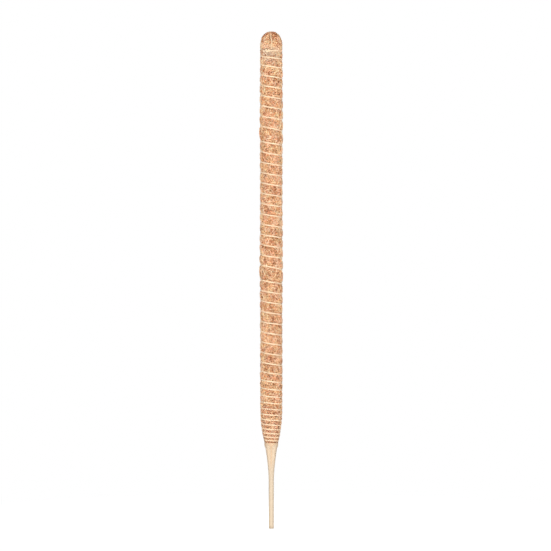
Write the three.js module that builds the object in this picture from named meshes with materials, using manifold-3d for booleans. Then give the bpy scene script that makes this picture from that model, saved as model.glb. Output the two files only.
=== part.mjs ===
// A moss pole: a jacketed wire core, packed and wrapped in coir and bound with one wound cord, on a sleeved
// stake.
// Millimetres, +Z up, front towards -Y. The origin is the middle of the stake's cut end, on the pole's axis.
import * as THREE from "three";
import Module from "manifold-3d";
import { mergeVertices } from "three/addons/utils/BufferGeometryUtils.js";

// Whole pole
const POLE_LENGTH = 600; // cut end of the stake to the top of the crown
const STAKE_LENGTH = 100; // cut end of the stake to the mouth of its sleeve
const BODY_DIAMETER = 27; // over the swells of the coir
const SIDES = 10; // flats round the coir, and steps in one turn of the cord
const SMOOTH_SIDES = 24; // flats round the core and its sleeve
const SEAT_GAP = 0.3; // room between pieces that bear on each other

// Core
const WIRE_DIAMETER = 3.6;
const JACKET_WALL = 0.5;
const JACKET_FIT = 0.1; // room between the wire and its jacket
const CROWN_COVER = 15; // coir over the core's top end
const BARE_WIRE = 1; // wire that stands out of the jacket at the top

// Stake sleeve: straight on the stake, then flaring over the foot of the coir
const SLEEVE_WALL = 0.3;
const SLEEVE_FIT = 0.15; // room between the jacket and the sleeve
const MOUTH_DIAMETER = 14.6;
const FLARE_LENGTH = 42;
const FLARE_POWER = 1.75; // the higher, the later the flare opens
const FLARE_STEPS = 8; // rings in the flare, and in the coir's taper over it

// Cord and its winding, from the knot under the crown down to the foot
const CORD_DIAMETER = 2.1;
const CORD_SIDES = 5;
const CROWN_HEIGHT = 22; // first turn of the cord to the top of the crown
const FOOT_CLEARANCE = 0.4; // lowest turn of the cord over the mouth of the sleeve
const START_ANGLE = -Math.PI / 2; // where the winding starts: the front
const END_ANGLE = Math.PI / 8; // where it ends: past the right side, so that its knot is at the back
const CROWN_PITCH = 8.5;
const CROWN_PITCH_RUN = 26; // height in which the pitch opens below the crown
const BODY_PITCH = 12.4;
const FOOT_PITCH = 3.6;
const FOOT_PITCH_RUN = 110; // height in which the pitch closes above the foot
const JOIN_PITCH = 6; // added to the turn at which a new length of coir starts

// Coir wrap
const SWELL = 2.5; // coir over the floor of the cord's channel
const SWELL_OF_PITCH = 0.2; // the most that it swells, as a share of the pitch, where turns are close
const SHOULDER_DROP = 0.28; // share of the pitch from the channel to a shoulder of the swell
const CHANNEL_GAP = 0.4; // cord to the floor of its channel
const WRAP_BACKING = 1.7; // coir under the channel
const FOOT_TAPER_LENGTH = 46;
const FOOT_CHANNEL_DIAMETER = 10.4; // floor of the channel at the lowest turn
const TAIL_LENGTH = 22; // coir drawn down inside the sleeve
const UPPER_WRAP_TURNS = 7.75; // from the start of the winding to the first join
const MIDDLE_WRAP_TURNS = 13; // from the first join to the second
const JOIN_SLIT = 0.75; // slit between the ends of two lengths
const TRIM_TURNS = 2; // turns of coir past each end of the cord, trimmed off

// Crown pad
const CROWN_INSET = 0.3; // crown inside the swells of the coir, all round
const DOME_HEIGHT = 16;
const DOME_POWER = 2.25; // 2 is an ellipse, and more is blunter
const DOME_STEPS = 6;
const RIM_DRAW = 1.2; // rim of the pad drawn in under the dome
const RIM_STEPS = 3;
const SEAM_RISE = 1; // seam of pad and wrap over the first turn of the cord
const SKIRT_LENGTH = 20; // pad tucked down inside the wrap
const SKIRT_WALL = 1.3;
const PACKING_DROP = 2; // top of the packing under the seam

// Crown strand, over the dome from the knot to the back
const STRAND_FRONT_ANGLE = THREE.MathUtils.degToRad(-88);
const STRAND_BACK_ANGLE = THREE.MathUtils.degToRad(125);
const STRAND_LIFT = 0.2; // middle of the strand over the dome
const STRAND_POINTS = 10;
const STRAND_STEPS = 20;
const STRAND_SIDES = 6;

// Knots: two tight loops that cross over the cord, between its end and a free tail
const LOOP_RADIUS = 1.7; // middle of a loop's cord
const LOOP_STEPS = 14;
const LOOP_TILT = THREE.MathUtils.degToRad(28); // each way
const LOOP_SPREAD = 1; // each way along the turn
const LOOP_PRESS = 0.75; // loops pressed flat against the coir
const LEAD_LENGTH = 14.5; // from the end of the winding to the middle of the knot
const TAIL_REACH = 8; // from the middle of the knot to the tip of the tail
const KNOT_STEPS = 22;
const KNOT_SIDES = 6;

const wireRadius = WIRE_DIAMETER / 2;
const jacketRadius = wireRadius + JACKET_FIT + JACKET_WALL;
const sleeveBore = jacketRadius + SLEEVE_FIT;
const stakeRadius = sleeveBore + SLEEVE_WALL;
const cordRadius = CORD_DIAMETER / 2;
const bodyChannelRadius = BODY_DIAMETER / 2 - SWELL;
const crownRadius = BODY_DIAMETER / 2 - CROWN_INSET;
const footChannelRadius = FOOT_CHANNEL_DIAMETER / 2;
const coirBore = jacketRadius + SEAT_GAP;
const coreTop = POLE_LENGTH - CROWN_COVER;
const windingTop = POLE_LENGTH - CROWN_HEIGHT;
const windingBottom = STAKE_LENGTH + FOOT_CLEARANCE + cordRadius;
const crownSeam = windingTop + cordRadius + SEAM_RISE;
const domeBase = POLE_LENGTH - DOME_HEIGHT;
const flareBase = STAKE_LENGTH - FLARE_LENGTH;
const turnStep = (2 * Math.PI) / SIDES;
const firstJoin = Math.round(UPPER_WRAP_TURNS * SIDES);
const secondJoin = firstJoin + Math.round(MIDDLE_WRAP_TURNS * SIDES);
const trimSteps = TRIM_TURNS * SIDES;
const packingBottom = windingBottom + CORD_DIAMETER;
const mergeWithin = 1e-3; // corners this near to each other are one corner

const wasm = await Module();
wasm.setup();

// Part of a run that a distance has covered, from 0 to 1.
function share(distance, run) {
  return THREE.MathUtils.clamp(distance / run, 0, 1);
}

// Radius of the floor of the cord's channel: even on the body, drawn in to the foot.
function channelRadius(z) {
  const left = 1 - share(z - windingBottom, FOOT_TAPER_LENGTH);
  return bodyChannelRadius - (bodyChannelRadius - footChannelRadius) * left ** 2;
}

function wrapBore(z) {
  return channelRadius(z) - WRAP_BACKING;
}

// How far the coir swells between turns of the cord.
function swellOf(pitch) {
  return Math.min(SWELL, SWELL_OF_PITCH * pitch);
}

function windingRadius(z) {
  return channelRadius(z) + CHANNEL_GAP + cordRadius;
}

// Outside of the sleeve.
function sleeveRadius(z) {
  const open = share(z - flareBase, FLARE_LENGTH) ** FLARE_POWER;
  return stakeRadius + (MOUTH_DIAMETER / 2 - stakeRadius) * open;
}

// Fall of the winding in one turn, at a height.
function pitchAt(z) {
  const footShare = share(z - windingBottom, FOOT_PITCH_RUN);
  const crownShare = share(windingTop - z, CROWN_PITCH_RUN);
  const footPitch = THREE.MathUtils.lerp(FOOT_PITCH, BODY_PITCH, footShare);
  const crownPitch = THREE.MathUtils.lerp(CROWN_PITCH, BODY_PITCH, crownShare);
  return Math.min(footPitch, crownPitch);
}

// Wider turn where a new length of coir starts: it swells and closes again within that turn.
function joinPitchAt(step) {
  const starts = [firstJoin, secondJoin];
  const turns = starts.map((start) => share(step - start, SIDES));
  return turns.reduce((sum, turn) => sum + JOIN_PITCH * (1 - Math.cos(2 * Math.PI * turn)), 0);
}

// Heights of the channel at every step, from some turns above the cord to some below it.
function windingHeights() {
  const heights = [windingTop + CROWN_PITCH * TRIM_TURNS];
  const lowest = windingBottom - FOOT_PITCH * (TRIM_TURNS + 1);
  while (heights.at(-1) > lowest) {
    const step = heights.length - 1 - trimSteps;
    const z = heights.at(-1);
    heights.push(z - (pitchAt(z) + joinPitchAt(step)) / SIDES);
  }
  return heights;
}

const heights = windingHeights();

function heightAt(step) {
  return heights[step + trimSteps];
}

function angleAt(step) {
  return START_ANGLE + step * turnStep;
}

// Last step of the cord, over the mouth of the sleeve, at the angle where its end lies.
function lastCordStep() {
  let step = Math.round((END_ANGLE - START_ANGLE) / turnStep);
  while (heightAt(step + SIDES) >= windingBottom) {
    step += SIDES;
  }
  return step;
}

const cordStart = 1;
const cordEnd = lastCordStep();

function aroundAxis(angle, radius, z) {
  return new THREE.Vector3(radius * Math.cos(angle), radius * Math.sin(angle), z);
}

function meshGeometry(points, triangles) {
  const geometry = new THREE.BufferGeometry();
  const coordinates = points.flatMap((point) => point.toArray());
  geometry.setAttribute("position", new THREE.Float32BufferAttribute(coordinates, 3));
  geometry.setIndex(triangles);
  return geometry;
}

function solidOf(geometry) {
  const bare = geometry.clone();
  bare.deleteAttribute("normal");
  bare.deleteAttribute("uv");
  const merged = mergeVertices(bare, mergeWithin);
  const vertProperties = new Float32Array(merged.attributes.position.array);
  const triVerts = new Uint32Array(merged.index.array);
  return new wasm.Manifold(new wasm.Mesh({ numProp: 3, vertProperties, triVerts }));
}

function geometryOf(solid) {
  const mesh = solid.getMesh();
  const geometry = new THREE.BufferGeometry();
  geometry.setAttribute("position", new THREE.BufferAttribute(mesh.vertProperties, 3));
  geometry.setIndex(new THREE.BufferAttribute(mesh.triVerts, 1));
  return geometry;
}

// A profile of [radius, height] points turned about the pole's axis.
function turned(profile, sides) {
  const points = profile.map(([radius, z]) => new THREE.Vector2(radius, z));
  const lathe = new THREE.LatheGeometry(points, sides);
  return lathe.rotateX(Math.PI / 2);
}

function closedRing(profile, sides) {
  return turned([...profile, profile[0]], sides);
}

// A round bar of the given diameter along a curve.
function bar(curve, diameter, sides, steps) {
  const corners = [];
  for (let i = 0; i < sides; i++) {
    const angle = (2 * Math.PI * i) / sides;
    corners.push(new THREE.Vector2(Math.cos(angle), Math.sin(angle)).multiplyScalar(diameter / 2));
  }
  const section = new THREE.Shape(corners);
  return new THREE.ExtrudeGeometry(section, { extrudePath: curve, steps, bevelEnabled: false });
}

// Evenly spaced heights, both ends included.
function heightsBetween(low, high, steps) {
  return Array.from({ length: steps + 1 }, (_, i) => low + ((high - low) * i) / steps);
}

function coreWire() {
  const profile = [
    [0, 0],
    [wireRadius, 0],
    [wireRadius, coreTop],
    [0, coreTop],
  ];
  return turned(profile, SMOOTH_SIDES);
}

function coreJacket() {
  const bore = wireRadius + JACKET_FIT;
  const top = coreTop - BARE_WIRE;
  const profile = [
    [bore, 0],
    [jacketRadius, 0],
    [jacketRadius, top],
    [bore, top],
  ];
  return closedRing(profile, SMOOTH_SIDES);
}

function stakeSleeve() {
  const flare = heightsBetween(flareBase, STAKE_LENGTH, FLARE_STEPS);
  const outside = flare.map((z) => [sleeveRadius(z), z]);
  const inside = flare.map((z) => [sleeveRadius(z) - SLEEVE_WALL, z]).reverse();
  return closedRing([[sleeveBore, 0], [stakeRadius, 0], ...outside, ...inside], SMOOTH_SIDES);
}

// Heights up the taper of the foot, from a given one to its top.
function taperFrom(low) {
  return heightsBetween(low, windingBottom + FOOT_TAPER_LENGTH, FLARE_STEPS);
}

function coirPacking() {
  const shoulder = crownSeam - SKIRT_LENGTH - SEAT_GAP;
  const top = crownSeam - PACKING_DROP;
  const neck = wrapBore(shoulder) - SEAT_GAP - SKIRT_WALL - SEAT_GAP;
  const profile = [
    [coirBore, packingBottom],
    ...taperFrom(packingBottom).map((z) => [wrapBore(z) - SEAT_GAP, z]),
    [wrapBore(shoulder) - SEAT_GAP, shoulder],
    [neck, shoulder],
    [neck, top],
    [coirBore, top],
  ];
  return closedRing(profile, SIDES);
}

// Outline of the coir at one step, from its channel down to just over the next turn's channel.
function coirOutline(step) {
  const top = heightAt(step);
  const pitch = top - heightAt(step + SIDES);
  const swell = swellOf(pitch);
  const rows = [
    [0, 0],
    [SHOULDER_DROP, 1],
    [1 - SHOULDER_DROP, 1],
  ];
  return rows.map(([drop, rise]) => {
    const z = top - drop * pitch;
    return aroundAxis(angleAt(step), channelRadius(z) + rise * swell, z);
  });
}

// One length of coir between two steps of the winding, filled to the axis: the turns of a strip felted edge
// to edge, with square ends. Its upper edge keeps clear of the length above, and its lower end stops a slit
// short.
function coirLength(first, last) {
  const points = [];
  const triangles = [];
  const columns = new Map();
  const slitSteps = JOIN_SLIT / (turnStep * bodyChannelRadius);

  function outlineAt(step) {
    const outline = coirOutline(step);
    if (step === last || step === last + SIDES) {
      const before = coirOutline(step - 1);
      outline.forEach((point, row) => point.lerp(before[row], slitSteps));
    }
    if (step < first + SIDES) {
      outline[0].z -= SEAT_GAP;
    }
    return outline;
  }
  function addPoint(point) {
    points.push(point);
    return points.length - 1;
  }
  function closeEnd(loop, height) {
    const middle = addPoint(new THREE.Vector3(0, 0, height));
    loop.forEach((corner, i) => triangles.push(middle, corner, loop[(i + 1) % loop.length]));
  }

  for (let step = first; step <= last + SIDES; step++) {
    const outline = outlineAt(step);
    columns.set(step, step <= last ? outline.map(addPoint) : [addPoint(outline[0])]);
  }
  const column = (step) => [...columns.get(step), columns.get(step + SIDES)[0]];
  for (let step = first; step < last; step++) {
    const here = column(step);
    const next = column(step + 1);
    for (let row = 0; row + 1 < here.length; row++) {
      triangles.push(here[row], here[row + 1], next[row + 1]);
      triangles.push(here[row], next[row + 1], next[row]);
    }
  }
  const edge = (start) => Array.from({ length: SIDES + 1 }, (_, i) => columns.get(start + i)[0]);
  const upperLoop = [...edge(first), ...columns.get(first).slice(1).reverse()];
  const lowerLoop = [...edge(last), ...columns.get(last).slice(1).reverse()];
  closeEnd(upperLoop, heightAt(first + SIDES / 2) - SEAT_GAP);
  closeEnd(lowerLoop.reverse(), heightAt(last + SIDES / 2));
  return solidOf(meshGeometry(points, triangles));
}

// The room inside the coir for the core, and over the foot for the packing too.
function coirRoom() {
  const floor = packingBottom - SEAT_GAP;
  const profile = [
    [0, 0],
    [coirBore, 0],
    [coirBore, floor],
    ...taperFrom(floor).map((z) => [wrapBore(z), z]),
    [wrapBore(POLE_LENGTH), POLE_LENGTH],
    [0, POLE_LENGTH],
  ];
  return solidOf(turned(profile, SIDES));
}

// A plain round block that trims coir to a range of heights.
function trimBlock(low, high) {
  const profile = [
    [0, low],
    [BODY_DIAMETER, low],
    [BODY_DIAMETER, high],
    [0, high],
  ];
  return solidOf(turned(profile, SIDES));
}

// Coir drawn down inside the flare of the sleeve.
function coirTail() {
  const top = windingBottom - cordRadius - SEAT_GAP;
  const levels = heightsBetween(STAKE_LENGTH - TAIL_LENGTH, top, FLARE_STEPS);
  const outside = levels.map((z) => [sleeveRadius(z) - SLEEVE_WALL - SEAT_GAP, z]);
  return closedRing([[coirBore, levels[0]], ...outside, [coirBore, top]], SIDES);
}

function coirWrapUpper() {
  const wrap = coirLength(-trimSteps, firstJoin).intersect(trimBlock(0, crownSeam));
  return geometryOf(wrap.subtract(coirRoom()).subtract(strandChannel()));
}

function coirWrapMiddle() {
  return geometryOf(coirLength(firstJoin, secondJoin).subtract(coirRoom()));
}

function coirWrapLower() {
  const bottom = windingBottom - cordRadius - 2 * SEAT_GAP;
  const wrap = coirLength(secondJoin, cordEnd + SIDES).intersect(trimBlock(bottom, POLE_LENGTH));
  return geometryOf(wrap.add(solidOf(coirTail())).subtract(coirRoom()));
}

// Height of the dome, or of a skin over it, at a distance from the axis.
function domeHeight(distance, skin) {
  const reach = crownRadius + skin;
  const out = share(distance, reach);
  return domeBase + (DOME_HEIGHT + skin) * (1 - out ** DOME_POWER) ** (1 / DOME_POWER);
}

function crownPad() {
  const skirtOut = wrapBore(crownSeam) - SEAT_GAP;
  const skirtIn = skirtOut - SKIRT_WALL;
  const skirtBottom = crownSeam - SKIRT_LENGTH;
  const underside = crownSeam - PACKING_DROP + SEAT_GAP;
  const seat = crownSeam + SEAT_GAP;
  const rim = [];
  for (let i = 0; i < RIM_STEPS; i++) {
    const turn = (Math.PI / 2) * (i / RIM_STEPS);
    const radius = crownRadius - RIM_DRAW * (1 - Math.sin(turn));
    rim.push([radius, domeBase - (domeBase - seat) * Math.cos(turn)]);
  }
  const dome = [];
  for (let i = 0; i <= DOME_STEPS; i++) {
    const across = crownRadius * Math.cos((Math.PI / 2) * (i / DOME_STEPS));
    dome.push([i === DOME_STEPS ? 0 : across, domeHeight(across, 0)]);
  }
  const profile = [
    [0, coreTop + SEAT_GAP],
    [coirBore, coreTop + SEAT_GAP],
    [coirBore, underside],
    [skirtIn, underside],
    [skirtIn, skirtBottom],
    [skirtOut, skirtBottom],
    [skirtOut, seat],
    ...rim,
    ...dome,
  ];
  const pad = solidOf(turned(profile, SIDES));
  return geometryOf(pad.subtract(strandChannel()));
}

// Route of the strand over the dome: down to the knot at the front, and to the first turn at the back.
// The ends can be drawn out, for the channel that the strand lies in.
function strandRoute(drawnOut) {
  const reach = crownRadius + STRAND_LIFT;
  const front = aroundAxis(STRAND_FRONT_ANGLE, reach, domeBase);
  const back = aroundAxis(STRAND_BACK_ANGLE, reach, domeBase);
  const backTurn = heightAt(Math.round((STRAND_BACK_ANGLE - START_ANGLE) / turnStep));
  const overTurn = cordRadius + SEAT_GAP - drawnOut;
  const points = [aroundAxis(STRAND_FRONT_ANGLE, reach - RIM_DRAW, windingTop + overTurn)];
  for (let i = 0; i <= STRAND_POINTS; i++) {
    const along = (1 - Math.cos((Math.PI * i) / STRAND_POINTS)) / 2;
    const point = front.clone().lerp(back, along);
    point.z = domeHeight(Math.hypot(point.x, point.y), STRAND_LIFT);
    points.push(point);
  }
  points.push(aroundAxis(STRAND_BACK_ANGLE, reach - RIM_DRAW, backTurn + overTurn));
  return new THREE.CatmullRomCurve3(points, false, "centripetal");
}

function crownStrand() {
  return bar(strandRoute(0), CORD_DIAMETER, STRAND_SIDES, STRAND_STEPS);
}

function strandChannel() {
  const width = CORD_DIAMETER + 2 * SEAT_GAP;
  return solidOf(bar(strandRoute(SEAT_GAP), width, STRAND_SIDES, STRAND_STEPS));
}

// Middle line of the wound cord, one point at each step.
function cordLine() {
  const line = [];
  for (let step = cordStart; step <= cordEnd; step++) {
    const z = heightAt(step);
    line.push(aroundAxis(angleAt(step), windingRadius(z), z));
  }
  return line;
}

// The wound cord: a five-sided section at each step, upright in the plane through the axis.
function bindingCord() {
  const points = [];
  const triangles = [];
  const line = cordLine();
  line.forEach((middle, i) => {
    const angle = angleAt(cordStart + i);
    for (let side = 0; side < CORD_SIDES; side++) {
      const round = (2 * Math.PI * side) / CORD_SIDES;
      const radius = windingRadius(middle.z) + cordRadius * Math.cos(round);
      points.push(aroundAxis(angle, radius, middle.z + cordRadius * Math.sin(round)));
    }
  });
  const corner = (i, side) => i * CORD_SIDES + (side % CORD_SIDES);
  for (let i = 0; i + 1 < line.length; i++) {
    for (let side = 0; side < CORD_SIDES; side++) {
      triangles.push(corner(i, side), corner(i + 1, side), corner(i + 1, side + 1));
      triangles.push(corner(i, side), corner(i + 1, side + 1), corner(i, side + 1));
    }
  }
  const end = line.length - 1;
  for (let side = 1; side + 1 < CORD_SIDES; side++) {
    triangles.push(corner(0, 0), corner(0, side), corner(0, side + 1));
    triangles.push(corner(end, 0), corner(end, side + 1), corner(end, side));
  }
  return meshGeometry(points, triangles);
}

// Least gap between stretches of a line of cord that lie more than a number of points apart.
function leastGap(line, apart, diameter) {
  let least = Infinity;
  line.forEach((point, i) => {
    for (let j = i + apart; j < line.length; j++) {
      least = Math.min(least, point.distanceTo(line[j]) - diameter);
    }
  });
  return least;
}

// Route of the cord through a knot that lies on the turns: straight out of the winding's end, up to the
// middle of the knot, and down to a tail on the coir. side is the way from the knot to the winding, 1 or -1.
function knotRoute(turnAngle, turnHeight, side, seat) {
  const inChannel = windingRadius(turnHeight);
  const onCoir = channelRadius(turnHeight) + swellOf(pitchAt(turnHeight)) + SEAT_GAP + cordRadius;
  const stations = [
    [LEAD_LENGTH + TAIL_REACH, onCoir],
    [LEAD_LENGTH + TAIL_REACH / 2, onCoir],
    [LEAD_LENGTH + LOOP_RADIUS, seat],
    [LEAD_LENGTH - LOOP_RADIUS, seat],
    [CORD_DIAMETER + SEAT_GAP, inChannel],
    [SEAT_GAP, inChannel],
  ];
  const points = stations.map(([along, radius]) => {
    return aroundAxis(turnAngle - (side * along) / seat, radius, turnHeight);
  });
  return new THREE.CatmullRomCurve3(points, false, "centripetal");
}

// A loop about the cord, tilted and pressed, at a distance along the turn from the middle of a knot.
function knotLoop(angle, height, seat, tilt, along) {
  const loop = new THREE.TorusGeometry(LOOP_RADIUS, cordRadius, KNOT_SIDES, LOOP_STEPS);
  loop.rotateX(Math.PI / 2).rotateX(tilt).scale(LOOP_PRESS, 1, 1).translate(seat, along, height);
  return solidOf(loop.rotateZ(angle));
}

function knot(step, side) {
  const turnAngle = angleAt(step);
  const turnHeight = heightAt(step);
  const onTurn = windingRadius(turnHeight) + cordRadius + SEAT_GAP;
  const seat = onTurn + (LOOP_RADIUS + cordRadius) * LOOP_PRESS;
  const angle = turnAngle - (side * LEAD_LENGTH) / seat;
  const route = knotRoute(turnAngle, turnHeight, side, seat);
  const cordThrough = solidOf(bar(route, CORD_DIAMETER, KNOT_SIDES, KNOT_STEPS));
  const loops = [-1, 1].map((way) => knotLoop(angle, turnHeight, seat, way * LOOP_TILT, way * LOOP_SPREAD));
  return geometryOf(loops.reduce((sum, loop) => sum.add(loop), cordThrough));
}

const steel = new THREE.MeshStandardMaterial({ color: 0xa9abae, roughness: 0.35, metalness: 1 });
const plastic = new THREE.MeshStandardMaterial({ color: 0x8a7a62, roughness: 0.5, metalness: 0 });
const film = new THREE.MeshStandardMaterial({ color: 0xf3d9b8, roughness: 0.4, metalness: 0 });
const coir = new THREE.MeshStandardMaterial({ color: 0xd9a47c, roughness: 0.95, metalness: 0 });
const cord = new THREE.MeshStandardMaterial({ color: 0xf7dab4, roughness: 0.85, metalness: 0 });

function piece(name, geometry, material) {
  const mesh = new THREE.Mesh(geometry, material);
  mesh.name = name;
  return mesh;
}

const pole = new THREE.Group();
pole.add(
  piece("core_wire", coreWire(), steel),
  piece("core_jacket", coreJacket(), plastic),
  piece("stake_sleeve", stakeSleeve(), film),
  piece("coir_packing", coirPacking(), coir),
  piece("coir_wrap_lower", coirWrapLower(), coir),
  piece("coir_wrap_middle", coirWrapMiddle(), coir),
  piece("coir_wrap_upper", coirWrapUpper(), coir),
  piece("crown_pad", crownPad(), coir),
  piece("crown_strand", crownStrand(), cord),
  piece("binding_cord", bindingCord(), cord),
  piece("top_knot", knot(cordStart, 1), cord),
  piece("foot_knot", knot(cordEnd, -1), cord),
);

const cordGap = leastGap(cordLine(), SIDES / 2, CORD_DIAMETER);
const cordTurns = (cordEnd - cordStart) / SIDES;
console.log(`binding_cord: ${cordTurns.toFixed(2)} turns, least gap to itself ${cordGap.toFixed(2)} mm`);

export default pole;
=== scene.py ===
"""Looks of a moss pole: felted coir and its fibres, a wound twine, a film sleeve, and a plain studio."""
import math
from contextlib import contextmanager

import bpy
import numpy as np
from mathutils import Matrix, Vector, noise


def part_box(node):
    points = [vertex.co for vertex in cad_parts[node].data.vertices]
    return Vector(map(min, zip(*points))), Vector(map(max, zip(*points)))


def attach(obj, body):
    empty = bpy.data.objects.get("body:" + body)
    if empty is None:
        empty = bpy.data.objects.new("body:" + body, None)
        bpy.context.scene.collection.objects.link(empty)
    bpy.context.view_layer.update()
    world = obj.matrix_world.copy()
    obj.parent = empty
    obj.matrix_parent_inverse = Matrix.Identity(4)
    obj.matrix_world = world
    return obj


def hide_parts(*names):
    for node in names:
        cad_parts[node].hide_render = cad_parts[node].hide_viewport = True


bl_info = {
    "name": "Moss pole",
    "version": (1, 0, 0),
    "blender": (4, 5, 0),
    "location": "3D View > Sidebar > Moss pole",
    "description": "Dresses a coir moss pole with felt, fibres, twine and film, and sets up its studio",
    "category": "Object",
}

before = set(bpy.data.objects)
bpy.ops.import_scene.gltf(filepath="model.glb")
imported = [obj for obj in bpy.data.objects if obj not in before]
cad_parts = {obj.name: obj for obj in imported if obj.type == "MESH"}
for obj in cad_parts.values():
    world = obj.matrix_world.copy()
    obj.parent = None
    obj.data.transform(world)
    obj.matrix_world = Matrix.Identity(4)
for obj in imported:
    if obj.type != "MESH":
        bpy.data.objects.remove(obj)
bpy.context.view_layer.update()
BODY = "root"
MM = 0.001
FULL_TURN = 2 * math.pi
FRONT = -math.pi / 2
UP = np.array([0, 0, 1.0])

# Values and maps that the pieces carry for their materials
TONE = "tone"
PAINTED_SHADE = "painted_shade"
STRAND_MAP = "strand"
BAKED_MAP = "OFBake"

# The winding is worked out in the same steps as the frame's, so that both lie in the same place.
WINDING_STEPS = 10
TRIM_TURNS = 2
COLUMNS_A_TURN = 96
JOIN_SLANT = 6 / COLUMNS_A_TURN

# Taken off the bulge at the joins and the crown of the swells, so that the coir keeps its mean width
MEAN_BULGE = 0.4
MEAN_CROWN = 0.67

# A screen's range and its sRGB curve
SCREEN_LEVELS = 255
SRGB_OFFSET = 0.055
SRGB_POWER = 2.4
WHITE = (1.0, 1.0, 1.0, 1.0)


def shown(red, green, blue):
    """A colour as it shows on a screen, 0 to 255, in the scene's linear values."""
    parts = [(part / SCREEN_LEVELS + SRGB_OFFSET) / (1 + SRGB_OFFSET) for part in (red, green, blue)]
    return (*(part**SRGB_POWER for part in parts), 1.0)


def length(name, description, millimetres):
    return bpy.props.FloatProperty(
        name=name, description=description, default=millimetres * MM, min=0.0, unit="LENGTH", precision=5
    )


def factor(name, description, default):
    return bpy.props.FloatProperty(name=name, description=description, default=default, min=0.0)


def count(name, description, default):
    return bpy.props.IntProperty(name=name, description=description, default=default, min=1)


def colour(name, description, red, green, blue):
    default = shown(red, green, blue)
    return bpy.props.FloatVectorProperty(
        name=name, description=description, default=default, subtype="COLOR", size=4, min=0.0, max=1.0
    )


def top_of(node):
    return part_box(node)[1].z / MM


def width_of(node):
    low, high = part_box(node)
    return (high.y - low.y) / MM


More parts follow.
